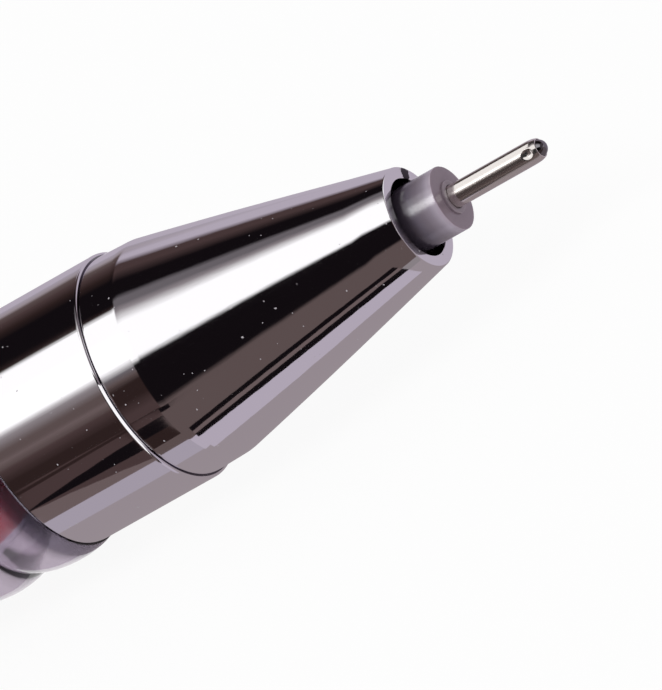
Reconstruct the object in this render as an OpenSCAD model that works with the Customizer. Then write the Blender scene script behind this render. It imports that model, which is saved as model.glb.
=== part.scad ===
// Retractable ballpoint pen, lying on its side with the point pushed out.
// The pen's axis is the X axis and the point is towards +X.
// The origin is on the axis at the middle of the ferrule, and Z is up.
// Stations along the axis end in _x, and radii from the axis end in _r.

/* [Ferrule and nose] */
// Outside diameter of the ferrule, the plain chrome ring behind the nose
ferrule_d = 9.6; // [9.2:0.1:10.4]
// Length of the ferrule
ferrule_len = 5.7; // [4.5:0.1:8]
// Wall of the ferrule
ferrule_wall = 0.5; // [0.4:0.05:0.6]
// Length of the nose, from its seam with the ferrule to the mouth
nose_len = 12.85; // [12:0.05:15]
// Length of the plain band at the back of the nose
nose_band_len = 1.65; // [1:0.05:2.5]
// Step down in radius from the ferrule to the nose's band
nose_step = 0.16; // [0.05:0.01:0.25]
// Fall in radius along the band
nose_band_fall = 0.055; // [0:0.005:0.1]
// Chamfer on the edges at the seam
seam_chamfer = 0.06; // [0.02:0.01:0.12]
// Outside diameter of the mouth
mouth_d = 4.2; // [4:0.05:4.6]
// Width of the rim round the mouth
mouth_rim = 0.475; // [0.4:0.025:0.55]
// Length of the guide bore behind the mouth
mouth_bore_len = 2.8; // [2.4:0.1:3.4]
// Least wall of the hollow nose
nose_wall = 0.5; // [0.4:0.05:0.6]
// Depth from the seam to the end of the wide room inside the nose
collar_room_len = 6.6; // [5.6:0.1:7.4]

/* [Thread between barrel and nose] */
// Length of thread that stands in the nose
thread_len = 3.4; // [2.6:0.1:3.6]
// Distance from one turn of the thread to the next
thread_pitch = 0.8; // [0.6:0.05:1]
// Depth of the thread
thread_depth = 0.15; // [0.1:0.01:0.2]
// Length of the threaded bush that is held in the barrel's neck
bush_seat_len = 5; // [4:0.5:12]
// Wall of the threaded bush
bush_wall = 0.5; // [0.4:0.05:0.6]

/* [Barrel] */
// Outside diameter of the barrel
barrel_d = 10.5; // [10.5:0.1:11.5]
// Wall of the barrel
barrel_wall = 1; // [0.8:0.1:1.2]
// Wall of the neck where it holds the threaded bush
neck_wall = 0.55; // [0.45:0.05:0.65]
// Length of the cone inside the barrel that leads into the neck
funnel_len = 3; // [2:0.5:5]

/* [Grip] */
// Number of rounded rings on the grip sleeve
grip_rings = 12; // [8:1:14]
// Distance from one ring to the next
ring_pitch = 2.85; // [2.5:0.05:3.2]
// Diameter over the rings at the ends of the grip
grip_d = 10.45; // [10.3:0.05:10.5]
// Height of a ring above its groove
ring_rise = 0.34; // [0.2:0.02:0.36]
// How much smaller in radius the grip is at its waist
grip_waist = 0.25; // [0:0.01:0.3]
// Width of the chrome band behind the grip
band_w = 1.2; // [0.8:0.1:2]

/* [Refill] */
// Length of the whole refill, from the ball to its tail
refill_len = 110.05; // [100:0.05:130]
// Wall of the refill tube
refill_wall = 0.5; // [0.4:0.05:0.6]
// Length of the clear follower that seals the ink
follower_len = 7; // [4:1:10]
// Length of empty tube between the follower and the tail plug, more as ink is used
empty_len = 9.3; // [4:0.1:60]
// How far the tip holder stands out of the mouth
holder_out = 1.65; // [1.2:0.05:2.2]
// Length of the holder's slim front from its face to its collar
holder_body_len = 12.15; // [11.5:0.05:13]
// Length of the holder's collar
collar_len = 1.2; // [0.8:0.1:1.6]
// Length of the holder's stem inside the refill tube
holder_stem_len = 6; // [4:0.5:9]
// Diameter of the low ring round the foot of the needle, on the holder's face
foot_ring_d = 1.4; // [1.25:0.05:1.8]
// Height of that ring
foot_ring_rise = 0.1; // [0.05:0.01:0.2]
// Length of the plug's spigot in the tail of the refill
tail_spigot_len = 3; // [2:0.5:5]
// Thickness of the tail plug's head
tail_head_len = 1; // [0.8:0.1:1.6]
// Diameter of the vent through the tail plug
tail_vent_d = 1; // [0.6:0.1:1.6]

/* [Writing point] */
// Outside diameter of the needle tube
needle_d = 0.95; // [0.9:0.01:1]
// Length of needle from the holder's face to its lip
needle_out = 4.3; // [3.6:0.05:5]
// Length of needle held inside the holder
needle_seat_len = 5; // [3:0.5:7]
// Diameter of the ink channel in the needle
needle_bore_d = 0.5; // [0.4:0.02:0.56]
// Diameter of the writing ball
ball_d = 0.7; // [0.66:0.01:0.72]
// How far the lip closes in past the middle of the ball
lip_past_ball = 0.1; // [0.06:0.01:0.12]
// Wall of the needle at its lip
lip_wall = 0.045; // [0.035:0.005:0.05]
// Length over which the needle closes in to its lip
lip_len = 0.7; // [0.5:0.05:0.9]
// Number of dents that hold the ball from behind
dents = 3; // [2:1:4]
// Distance of the dents behind the middle of the ball
dent_back = 0.3; // [0.28:0.02:0.5]
// Turn of the first dent round the needle, from straight down
dent_turn = 232; // [0:2:358]
// Depth of each dent
dent_depth = 0.1; // [0.05:0.01:0.12]
// Radius of the punch that makes a dent
dent_punch_r = 0.3; // [0.2:0.02:0.4]

/* [Return spring] */
// Thickness of the spring's wire
wire_d = 0.32; // [0.26:0.01:0.36]
// Turns of the spring
spring_turns = 9; // [7:1:9]

/* [Click mechanism] */
// Depth at which the point rests inside the mouth when it is drawn in
tip_recess = 0.45; // [0.3:0.05:0.8]
// Extra travel of the button past the point where it latches
over_travel = 1; // [0.5:0.1:1.2]
// Room for the mechanism, from the refill's tail to the barrel's rear end
click_room_len = 28.1; // [26:0.1:34]
// Wall of the cam sleeve
sleeve_wall = 0.6; // [0.5:0.05:0.7]
// How far the ribs in the sleeve stand in from its wall
sleeve_rib_rise = 0.55; // [0.45:0.05:0.6]
// Angle that one rib of the sleeve covers
sleeve_rib_angle = 30; // [24:1:34]
// Number of ribs, and of slots between them
cam_ribs = 4; // [4:1:4]
// Angle that one rib of the rotor covers
rotor_rib_angle = 12; // [8:1:14]
// Angle that one rib of the plunger covers
plunger_rib_angle = 16; // [10:1:20]
// Length of the rotor's body
rotor_len = 7; // [6:0.5:9]
// Length of the rotor's ribs
rotor_rib_len = 4; // [3:0.5:5]
// Length of the rotor's pin, which turns in the plunger
rotor_pin_len = 5; // [3:0.5:6]
// Diameter of the rotor's pin
rotor_pin_d = 2.4; // [2:0.1:2.6]
// Depth of the teeth between the rotor and the plunger
tooth_depth = 0.7; // [0.4:0.1:0.9]
// Diameter of the button
button_d = 6; // [5.8:0.1:6.2]
// How far the button stands out of the rear cap while the point is out
button_out = 5.6; // [4:0.1:8]
// Wall of the button
button_wall = 1; // [0.8:0.1:1.2]
// Radius of the button's rounded edge
button_round = 0.8; // [0.3:0.1:1.2]
// Length of the bush that guides the button
guide_len = 5; // [4:0.5:6]

/* [Rear cap and clip] */
// Length of the cap that laps the barrel
cap_lap = 8; // [6:0.5:12]
// Wall of the cap round the barrel
cap_wall = 0.45; // [0.4:0.05:0.55]
// Thickness of the cap's end wall
cap_end = 2.3; // [1.5:0.1:3]
// Radius of the cap's rounded rear edge
cap_round = 0.6; // [0.2:0.1:1]
// Length of the lug that holds the clip
lug_len = 7.5; // [6:0.5:8]
// Width of the lug
lug_w = 5.4; // [5.2:0.1:6.5]
// Height of the lug above the barrel
lug_rise = 2.9; // [2.7:0.1:3.4]
// Chamfer along the lug's top
lug_chamfer = 0.6; // [0.3:0.1:0.8]
// Length of the clip from its pivot to its free end
clip_len = 41; // [34:1:44]
// Width of the clip at its root
clip_w = 4; // [3.4:0.1:4.2]
// Width of the clip at its free end
clip_end_w = 3; // [2.4:0.1:3.4]
// Thickness of the clip's strip
clip_t = 0.8; // [0.6:0.05:0.9]
// Gap between the clip's strip and the barrel
clip_gap = 1.25; // [1:0.05:1.4]
// Gap that is left where the clip bends down to the barrel
clip_pinch = 0.2; // [0.1:0.05:0.4]
// Distance of that bend from the clip's free end
clip_bend_back = 3; // [2:0.1:5]
// Angle at which the strip runs down to the bend
clip_dip_angle = 12; // [6:1:16]
// Angle at which the free end turns up after the bend
clip_lift_angle = 24; // [12:2:30]
// Radius of the bend, along the middle of the strip
clip_bend_r = 2; // [1:0.2:3]
// Diameter of the rolled eye at the clip's root
eye_d = 1.3; // [1.1:0.05:1.4]
// Depth of the clip's pivot inside the lug
eye_depth = 2.2; // [1.8:0.1:2.6]

/* [Clearances] */
// Gap between pieces that are pressed or screwed together
fit = 0.05; // [0.03:0.01:0.07]
// Gap between the small pressed pieces of the refill
press_gap = 0.02; // [0.01:0.005:0.03]
// Gap round the ball in its socket
ball_gap = 0.015; // [0.01:0.005:0.02]
// Gap round a pin that turns in its bore
pin_gap = 0.05; // [0.03:0.01:0.08]
// Gap round the refill in the neck of the barrel
refill_play = 0.25; // [0.2:0.05:0.3]
// Gap round the tip holder in the mouth
holder_play = 0.3; // [0.2:0.05:0.35]
// Gap round the spring in the nose
spring_play = 0.15; // [0.1:0.05:0.2]
// Gap round the sliding pieces of the click mechanism
slide_play = 0.15; // [0.1:0.01:0.2]
// Gap between the slanted ends of the rotor's and the sleeve's ribs
cam_gap = 0.5; // [0.4:0.05:0.7]
// Gap above and below the clip in the lug's slot
slot_play = 0.25; // [0.2:0.05:0.3]

/* [Hidden] */
$fn = 72;

// How far a cutter runs past what it cuts
over = 1;

// Radii, from the ferrule inwards
ferrule_r = ferrule_d / 2;
neck_r = ferrule_r - ferrule_wall - fit;
bush_r = neck_r - neck_wall - fit;
bush_bore_r = bush_r - bush_wall;
refill_r = bush_bore_r - refill_play;
refill_bore_r = refill_r - refill_wall;
band_r = ferrule_r - nose_step;
shoulder_r = band_r - nose_band_fall;
mouth_r = mouth_d / 2;
mouth_bore_r = mouth_r - mouth_rim;
holder_r = mouth_bore_r - holder_play;
needle_r = needle_d / 2;
ball_r = ball_d / 2;
socket_r = ball_r + ball_gap;
foot_ring_r = foot_ring_d / 2;

// Stations of the front, with the ferrule's middle at zero
seam_x = ferrule_len / 2;
grip_front_x = -ferrule_len / 2;
grip_rear_x = grip_front_x - grip_rings * ring_pitch;
barrel_front_x = grip_rear_x - band_w;
mouth_x = seam_x + nose_len;
spring_seat_x = mouth_x - mouth_bore_len;
collar_room_x = seam_x + collar_room_len;
thread_end_x = seam_x + thread_len;
thread_socket_x = thread_end_x + thread_pitch / 4;
bush_rear_x = seam_x - bush_seat_len;

// Radius of the nose at a station on its cone, and the rooms inside it
function nose_r(x) = shoulder_r
    + (mouth_r - shoulder_r) * (x - seam_x - nose_band_len) / (nose_len - nose_band_len);
spring_room_r = nose_r(spring_seat_x) - nose_wall;
collar_room_r = nose_r(collar_room_x) - nose_wall;

// Stations of the refill
holder_face_x = mouth_x + holder_out;
collar_face_x = holder_face_x - holder_body_len;
collar_rear_x = collar_face_x - collar_len;
stem_rear_x = collar_rear_x - holder_stem_len;
lip_x = holder_face_x + needle_out;
ball_x = lip_x - lip_past_ball;
tip_x = ball_x + ball_r;
needle_rear_x = holder_face_x - needle_seat_len;
tail_x = tip_x - refill_len;
tube_rear_x = tail_x + tail_head_len;
follower_rear_x = tube_rear_x + tail_spigot_len + empty_len;
ink_rear_x = follower_rear_x + follower_len;

// The stroke draws the ball back to its recess inside the mouth
stroke = tip_x - mouth_x + tip_recess;

// Radii of the barrel's rear and of the click mechanism
barrel_r = barrel_d / 2;
barrel_bore_r = barrel_r - barrel_wall;
rear_neck_r = barrel_r - cap_wall - fit;
sleeve_r = barrel_bore_r - fit;
sleeve_bore_r = sleeve_r - sleeve_wall;
sleeve_rib_r = sleeve_bore_r - sleeve_rib_rise;
cam_body_r = sleeve_rib_r - slide_play;
cam_rib_r = sleeve_bore_r - slide_play;
rotor_pin_r = rotor_pin_d / 2;
button_r = button_d / 2;
stem_r = button_r - button_wall;

// Stations of the barrel's rear end and of the click mechanism
barrel_rear_x = tail_x - click_room_len;
rotor_front_x = tail_x - fit;
rotor_rear_x = rotor_front_x - rotor_len;
rotor_rib_rear_x = rotor_rear_x + 1.7 * tooth_depth;
plunger_front_x = rotor_rear_x - 2 * fit;
guide_front_x = barrel_rear_x + guide_len;
plunger_rib_rear_x = guide_front_x + stroke + 2 * fit;
cap_rear_x = barrel_rear_x - fit - cap_end;
cap_front_x = barrel_rear_x + cap_lap;
button_rear_x = cap_rear_x - button_out;
button_front_x = guide_front_x + stroke - guide_len / 2;
sleeve_front_x = tail_x + 1.5 * tail_head_len;
sleeve_rib_rear_x = button_front_x + over_travel + 2 * slide_play;

// The rotor turns half the step between two ribs over the stroke, so the ribs'
// slanted ends follow a steep helix, which a plane across the rib comes close to
rotor_turn = 180 / cam_ribs;
rib_middle_r = (sleeve_bore_r + sleeve_rib_r) / 2;
ramp_slope = stroke / (rotor_turn * PI / 180 * rib_middle_r);

// Lug and clip, in the plane through the axis, as distances from the axis
lug_top_r = barrel_r + lug_rise;
lug_front_x = cap_front_x - fit;
strip_r = barrel_r + clip_gap + clip_t / 2;
pinch_r = barrel_r + clip_pinch + clip_t / 2;
eye_r = eye_d / 2;
eye_x = lug_front_x - eye_depth;
clip_end_x = eye_x + clip_len;
clip_bend_x = clip_end_x - clip_bend_back;

// The pen lies on its barrel and on one corner of the lug. This is how far the
// clip then points below the horizontal, on the -Y side
function corner_roll(out, side) = asin(barrel_r / norm([out, side])) - atan2(side, out);
clip_roll = min(
    corner_roll(lug_top_r, lug_w / 2 - lug_chamfer),
    corner_roll(lug_top_r - lug_chamfer, lug_w / 2)
);

// Stands the pen's axis along X
module along_pen() { rotate([0, 90, 0]) children(); }

// Turns a piece that is made over the axis round to the clip's side
module at_clip() { rotate([0, 0, clip_roll - 90]) children(); }

// A round piece from its outline, whose points are a radius and a station
module turned(outline) { along_pen() rotate_extrude() polygon(outline); }

// A cylinder between two stations
module rod(r, from_x, to_x) {
    translate([0, 0, min(from_x, to_x)]) cylinder(r = r, h = abs(to_x - from_x));
}

// A pie slice between two stations, with its middle on the X axis
module slice(angle, r, from_x, to_x) {
    wide = r / cos(angle / 2);
    translate([0, 0, min(from_x, to_x)]) linear_extrude(abs(to_x - from_x))
        polygon([
            [0, 0],
            [wide * cos(angle / 2), -wide * sin(angle / 2)],
            [wide * cos(angle / 2), wide * sin(angle / 2)]
        ]);
}

// A block with a slanted top that passes through a station on the X axis
module ramp_block(x, size) {
    rotate([90, 0, 90]) translate([0, 0, -size]) linear_extrude(2 * size)
        polygon([
            [-size, x - size * ramp_slope],
            [size, x + size * ramp_slope],
            [size, x + 2 * size * ramp_slope],
            [-size, x + 2 * size * ramp_slope]
        ]);
}

// Crossed notches that leave twice as many teeth on a round end as there are ribs
module tooth_notches(x, side) {
    half = cam_body_r * sin(90 / cam_ribs);
    for (i = [0 : cam_ribs - 1]) rotate([0, 0, i * 180 / cam_ribs])
        translate([0, 0, x]) rotate([90, 0, 0])
            linear_extrude(2 * cam_rib_r + over, center = true)
                polygon([
                    [-half, side * fit],
                    [half, side * fit],
                    [0, -side * tooth_depth]
                ]);
}

// Clear moulded barrel: the full tube, the neck inside the grip and the rear neck
module barrel() {
    color([0.86, 0.85, 0.9, 0.4]) turned([
        [bush_r + fit, seam_x],
        [neck_r, seam_x],
        [neck_r, barrel_front_x],
        [barrel_r, barrel_front_x],
        [barrel_r, cap_front_x],
        [rear_neck_r, cap_front_x],
        [rear_neck_r, barrel_rear_x],
        [barrel_bore_r, barrel_rear_x],
        [barrel_bore_r, barrel_front_x - funnel_len],
        [bush_bore_r, barrel_front_x],
        [bush_bore_r, bush_rear_x - fit],
        [bush_r + fit, bush_rear_x - fit]
    ]);
}

// Metal bush in the barrel's neck, with the thread that the nose screws onto
module thread_bush() {
    turns = floor((thread_len - thread_pitch / 2) / thread_pitch);
    grooves = [
        for (i = [0 : turns - 1], step = [0 : 2])
            [
                bush_r - (step == 1 ? thread_depth : 0),
                seam_x + thread_pitch * (i + 0.5 + step / 4)
            ]
    ];
    color([0.78, 0.66, 0.4]) turned(concat(
        [[bush_bore_r, bush_rear_x], [bush_r, bush_rear_x]],
        grooves,
        [[bush_r, thread_end_x], [bush_bore_r, thread_end_x]]
    ));
}

// Plain chrome ring that the photographed seam and the grip lie against
module ferrule() {
    color([0.75, 0.74, 0.77]) turned([
        [neck_r + fit, grip_front_x],
        [ferrule_r - seam_chamfer, grip_front_x],
        [ferrule_r, grip_front_x + seam_chamfer],
        [ferrule_r, seam_x - seam_chamfer],
        [ferrule_r - seam_chamfer, seam_x],
        [neck_r + fit, seam_x]
    ]);
}

// Clear sleeve of rounded rings, each ring an arc that stands on the sharp grooves
module grip_sleeve() {
    arc_r = (pow(ring_pitch / 2, 2) + pow(ring_rise, 2)) / (2 * ring_rise);
    color([0.82, 0.8, 0.88, 0.45]) along_pen() rotate_extrude()
        difference() {
            for (i = [0 : grip_rings - 1]) {
                middle = grip_front_x - (i + 0.5) * ring_pitch;
                peak_r = grip_d / 2 - grip_waist * sin(180 * (i + 0.5) / grip_rings);
                intersection() {
                    translate([peak_r - arc_r, middle]) circle(r = arc_r);
                    translate([0, middle - ring_pitch / 2]) square([2 * peak_r, ring_pitch]);
                }
            }
            translate([-over, grip_rear_x - over])
                square([neck_r + fit + over, grip_rings * ring_pitch + 2 * over]);
        }
}

// Chrome band between the grip and the full barrel
module grip_band() {
    color([0.75, 0.74, 0.77]) turned([
        [neck_r + fit, barrel_front_x],
        [barrel_r, barrel_front_x],
        [barrel_r, grip_rear_x - seam_chamfer],
        [barrel_r - seam_chamfer, grip_rear_x],
        [neck_r + fit, grip_rear_x]
    ]);
}

// Chrome nose, drilled in steps for the thread, the refill's collar, the spring and
// the tip holder
module nose_cone() {
    color([0.72, 0.71, 0.74]) turned([
        [bush_r + fit, seam_x],
        [band_r - seam_chamfer, seam_x],
        [band_r, seam_x + seam_chamfer],
        [shoulder_r, seam_x + nose_band_len],
        [mouth_r, mouth_x],
        [mouth_bore_r, mouth_x],
        [mouth_bore_r, spring_seat_x],
        [spring_room_r, spring_seat_x],
        [spring_room_r, collar_room_x],
        [collar_room_r, collar_room_x],
        [collar_room_r, thread_socket_x],
        [bush_r + fit, thread_socket_x]
    ]);
}

// Clear tube that holds the ink
module refill_tube() {
    color([0.9, 0.9, 0.92, 0.4]) turned([
        [refill_bore_r, tube_rear_x],
        [refill_r, tube_rear_x],
        [refill_r, collar_rear_x],
        [refill_bore_r, collar_rear_x]
    ]);
}

// Red ink behind the tip holder
module ink_column() {
    color([0.75, 0.05, 0.14])
        along_pen() rod(refill_bore_r - press_gap, ink_rear_x, stem_rear_x - press_gap);
}

// Clear grease plug that follows the ink
module ink_follower() {
    color([0.9, 0.86, 0.7, 0.6]) along_pen()
        rod(refill_bore_r - press_gap, follower_rear_x, ink_rear_x - press_gap);
}

// Plug with a vent in the tail of the refill
module tail_plug() {
    color([0.6, 0.58, 0.63]) turned([
        [tail_vent_d / 2, tail_x],
        [refill_r, tail_x],
        [refill_r, tube_rear_x - press_gap],
        [refill_bore_r - press_gap, tube_rear_x - press_gap],
        [refill_bore_r - press_gap, tube_rear_x + tail_spigot_len],
        [tail_vent_d / 2, tube_rear_x + tail_spigot_len]
    ]);
}

// Grey plastic holder: slim front, collar that the spring pushes on, and stem
module tip_holder() {
    root_r = holder_r + holder_play / 2;
    color([0.62, 0.6, 0.65]) turned([
        [needle_r - wire_d / 2, stem_rear_x],
        [refill_bore_r - press_gap, stem_rear_x],
        [refill_bore_r - press_gap, collar_rear_x - press_gap],
        [refill_bore_r - press_gap, collar_rear_x],
        [refill_r, collar_rear_x],
        [refill_r, collar_face_x],
        [root_r, collar_face_x],
        [holder_r, collar_face_x + collar_len],
        [holder_r, holder_face_x],
        [foot_ring_r, holder_face_x],
        [foot_ring_r, holder_face_x + foot_ring_rise],
        [needle_r + press_gap, holder_face_x + foot_ring_rise],
        [needle_r + press_gap, needle_rear_x - press_gap],
        [needle_r - wire_d / 2, needle_rear_x - press_gap]
    ]);
}

// Steel needle tube that closes in round the ball, with dents behind it
module needle_tube() {
    lip_bore_r = sqrt(pow(socket_r, 2) - pow(lip_past_ball, 2));
    lip_r = lip_bore_r + lip_wall;
    color([0.8, 0.78, 0.76]) along_pen() difference() {
        rotate_extrude() polygon([
            [0, needle_rear_x],
            [needle_r, needle_rear_x],
            [needle_r, lip_x - lip_len],
            [(needle_r + lip_r + lip_wall) / 2, lip_x - lip_len / 3],
            [lip_r, lip_x],
            [0, lip_x]
        ]);
        rod(needle_bore_d / 2, needle_rear_x - over, ball_x);
        translate([0, 0, ball_x]) sphere(r = socket_r);
        for (i = [0 : dents - 1]) rotate([0, 0, dent_turn + i * 360 / dents])
            translate([needle_r + dent_punch_r - dent_depth, 0, ball_x - dent_back])
                sphere(r = dent_punch_r);
    }
}

// Hard metal ball that rolls in the needle's lip
module writing_ball() {
    color([0.55, 0.55, 0.57]) along_pen() translate([0, 0, ball_x]) sphere(r = ball_r);
}

// Points of the spring: rings of wire round a helix between the collar and its seat
spring_r = spring_room_r - spring_play - wire_d / 2;
spring_from_x = collar_face_x + wire_d / 2 + press_gap;
spring_run = spring_seat_x - wire_d / 2 - press_gap - spring_from_x;
rings_a_turn = 8;
wire_sides = 6;
ring_count = spring_turns * rings_a_turn + 1;
function spring_angle(i) = 360 * i / rings_a_turn;
function spring_middle(i) = [
    spring_r * cos(spring_angle(i)),
    spring_r * sin(spring_angle(i)),
    spring_from_x + spring_run * i / (ring_count - 1)
];
function spring_point(i, k) =
    let (
        tilt = atan2(spring_run / spring_turns, 2 * PI * spring_r),
        out = [cos(spring_angle(i)), sin(spring_angle(i)), 0],
        up = [
            sin(tilt) * sin(spring_angle(i)),
            -sin(tilt) * cos(spring_angle(i)),
            cos(tilt)
        ],
        a = 360 * k / wire_sides
    )
    spring_middle(i) + wire_d / 2 * (cos(a) * out + sin(a) * up);

// Least gap between one turn of wire and the next, measured on the rings' middles
spring_gap = min([
    for (i = [0 : ring_count - 1 - rings_a_turn], j = [-2 : 2])
        if (i + rings_a_turn + j < ring_count)
            norm(spring_middle(i + rings_a_turn + j) - spring_middle(i))
]) - wire_d;
echo(spring_gap = spring_gap);

// Wire spring inside the nose, between the seat behind the mouth and the collar
module return_spring() {
    points = [
        for (i = [0 : ring_count - 1], k = [0 : wire_sides - 1]) spring_point(i, k)
    ];
    last = (ring_count - 1) * wire_sides;
    sides = [
        for (i = [0 : ring_count - 2], k = [0 : wire_sides - 1], half = [0 : 1])
            let (
                a = i * wire_sides + k,
                b = i * wire_sides + (k + 1) % wire_sides
            )
            half == 0 ? [a, a + wire_sides, b + wire_sides] : [a, b + wire_sides, b]
    ];
    ends = [
        for (k = [1 : wire_sides - 2], end = [0 : 1])
            end == 0 ? [0, k, k + 1] : [last, last + k + 1, last + k]
    ];
    color([0.66, 0.66, 0.68]) along_pen()
        polyhedron(points = points, faces = concat(sides, ends), convexity = 10);
}

// Plastic sleeve fixed in the barrel, whose slanted ribs catch the rotor
module cam_sleeve() {
    color([0.82, 0.81, 0.84]) along_pen() union() {
        difference() {
            rod(sleeve_r, guide_front_x, sleeve_front_x);
            rod(sleeve_bore_r, guide_front_x - over, sleeve_front_x + over);
        }
        for (i = [0 : cam_ribs - 1]) rotate([0, 0, i * 360 / cam_ribs])
            difference() {
                intersection() {
                    slice(sleeve_rib_angle, sleeve_r, sleeve_rib_rear_x, rotor_front_x);
                    rod(sleeve_bore_r + sleeve_wall / 2, sleeve_rib_rear_x, rotor_front_x);
                }
                rod(sleeve_rib_r, sleeve_rib_rear_x - over, rotor_front_x + over);
                ramp_block(rotor_rib_rear_x - cam_gap, sleeve_r + over);
            }
    }
}

// Rotor behind the refill, with ribs that rest on the sleeve's ribs or slide
// between them
module cam_rotor() {
    color([0.9, 0.9, 0.88]) along_pen() union() {
        difference() {
            rod(cam_body_r, rotor_rear_x, rotor_front_x);
            tooth_notches(rotor_rear_x, -1);
        }
        rod(rotor_pin_r, rotor_rear_x - rotor_pin_len, rotor_front_x - rotor_len / 2);
        for (i = [0 : cam_ribs - 1]) rotate([0, 0, i * 360 / cam_ribs])
            intersection() {
                slice(
                    rotor_rib_angle, cam_rib_r,
                    rotor_rear_x, rotor_rib_rear_x + rotor_rib_len
                );
                difference() {
                    rod(cam_rib_r, rotor_rear_x, rotor_rib_rear_x + rotor_rib_len);
                    rod(cam_body_r - slide_play, rotor_rear_x - over, tail_x);
                }
                ramp_block(rotor_rib_rear_x, sleeve_r + over);
            }
    }
}

// Plunger that carries the button's push to the rotor, kept from turning by its ribs
module plunger() {
    color([0.55, 0.55, 0.58]) along_pen() difference() {
        union() {
            rod(cam_body_r, plunger_rib_rear_x, plunger_front_x);
            rod(stem_r, button_rear_x + 2 * button_wall, plunger_rib_rear_x + over);
            for (i = [0 : cam_ribs - 1]) rotate([0, 0, (i + 0.5) * 360 / cam_ribs])
                intersection() {
                    slice(
                        plunger_rib_angle, cam_rib_r,
                        plunger_rib_rear_x, plunger_front_x - tooth_depth
                    );
                    difference() {
                        rod(cam_rib_r, plunger_rib_rear_x, plunger_front_x);
                        rod(stem_r, plunger_rib_rear_x - over, plunger_front_x + over);
                    }
                }
        }
        rod(
            rotor_pin_r + pin_gap,
            rotor_rear_x - rotor_pin_len - 2 * slide_play, plunger_front_x + over
        );
        tooth_notches(plunger_front_x, 1);
    }
}

// Chrome button pressed onto the plunger's stem
module button_cap() {
    color([0.75, 0.74, 0.77]) along_pen() rotate_extrude() difference() {
        union() {
            translate([0, button_rear_x + button_round])
                square([button_r, button_front_x - button_rear_x - button_round]);
            translate([0, button_rear_x])
                square([button_r - button_round, 2 * button_round]);
            translate([button_r - button_round, button_rear_x + button_round])
                circle(r = button_round);
        }
        translate([-over, button_rear_x + 2 * button_wall - press_gap])
            square([stem_r + press_gap + over, button_front_x - button_rear_x]);
    }
}

// Plastic bush in the barrel's rear end that guides the button and stops the plunger
module guide_bush() {
    color([0.4, 0.4, 0.43]) turned([
        [button_r + 2 * pin_gap, barrel_rear_x],
        [sleeve_r, barrel_rear_x],
        [sleeve_r, guide_front_x - fit],
        [button_r + 2 * pin_gap, guide_front_x - fit]
    ]);
}

// Chrome cap over the barrel's rear neck, with the lug whose slot holds the clip
module rear_cap() {
    slot_half = clip_t / 2 + slot_play;
    lug_half = lug_w / 2;
    color([0.75, 0.74, 0.77]) along_pen() difference() {
        union() {
            rotate_extrude() {
                translate([0, cap_rear_x + cap_round])
                    square([barrel_r, cap_front_x - fit - cap_rear_x - cap_round]);
                translate([0, cap_rear_x])
                    square([barrel_r - cap_round, 2 * cap_round]);
                translate([barrel_r - cap_round, cap_rear_x + cap_round])
                    circle(r = cap_round);
            }
            at_clip() translate([0, 0, lug_front_x - lug_len])
                linear_extrude(lug_len) polygon([
                    [0, -lug_half],
                    [lug_top_r - lug_chamfer, -lug_half],
                    [lug_top_r, lug_chamfer - lug_half],
                    [lug_top_r, lug_half - lug_chamfer],
                    [lug_top_r - lug_chamfer, lug_half],
                    [0, lug_half]
                ]);
        }
        rod(rear_neck_r + fit, barrel_rear_x - fit, cap_front_x + over);
        rod(button_r + 2 * pin_gap, cap_rear_x - over, barrel_rear_x);
        at_clip() {
            translate([strip_r - slot_half, -clip_w / 2 - slot_play, eye_x])
                cube([2 * slot_half, clip_w + 2 * slot_play, eye_depth + over]);
            translate([strip_r, 0, eye_x]) rotate([90, 0, 0])
                cylinder(r = eye_r + pin_gap, h = clip_w + 2 * slot_play, center = true);
        }
    }
}

// Middle line of the clip's strip in side view: from the eye along the barrel, down
// to the bend, round it and up to the free end
clip_path = concat(
    [
        [strip_r, eye_x],
        [
            strip_r,
            clip_bend_x - (strip_r - pinch_r + clip_bend_r * (1 / cos(clip_dip_angle) - 1))
                / tan(clip_dip_angle)
        ]
    ],
    [
        for (i = [0 : 4])
            let (a = (clip_dip_angle + clip_lift_angle) * i / 4 - clip_dip_angle)
            [pinch_r + clip_bend_r * (1 - cos(a)), clip_bend_x + clip_bend_r * sin(a)]
    ],
    [[
        pinch_r + clip_bend_back * tan(clip_lift_angle)
            - clip_bend_r * (1 / cos(clip_lift_angle) - 1),
        clip_end_x
    ]]
);

// A point beside the path, half the strip's thickness out, mitred at each turn
function side_way(i) =
    let (way = clip_path[i + 1] - clip_path[i])
    [-way[1], way[0]] / norm(way);
function strip_point(i, side) =
    let (
        before = side_way(max(i - 1, 0)),
        after = side_way(min(i, len(clip_path) - 2)),
        out = before + after
    )
    clip_path[i] + side * clip_t * out / (out * out);

// Sprung steel clip: a rolled eye in the lug, a straight strip, and a bend that
// nearly meets the barrel before the free end turns up
module clip() {
    last = len(clip_path) - 1;
    end_r = clip_end_w / 2;
    color([0.78, 0.77, 0.8]) along_pen() at_clip() intersection() {
        rotate([90, 0, 0]) union() {
            linear_extrude(clip_w, center = true) polygon([
                for (i = [0 : 2 * last + 1])
                    i <= last ? strip_point(i, 1) : strip_point(2 * last + 1 - i, -1)
            ]);
            translate(clip_path[0]) cylinder(r = eye_r, h = clip_w, center = true);
        }
        rotate([0, 90, 0]) linear_extrude(lug_top_r) polygon(concat(
            [[over - eye_x, clip_w / 2], [over - eye_x, -clip_w / 2]],
            [
                for (a = [-90 : 15 : 90])
                    [fit + end_r - clip_end_x - end_r * cos(a), end_r * sin(a)]
            ]
        ));
    }
}

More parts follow.
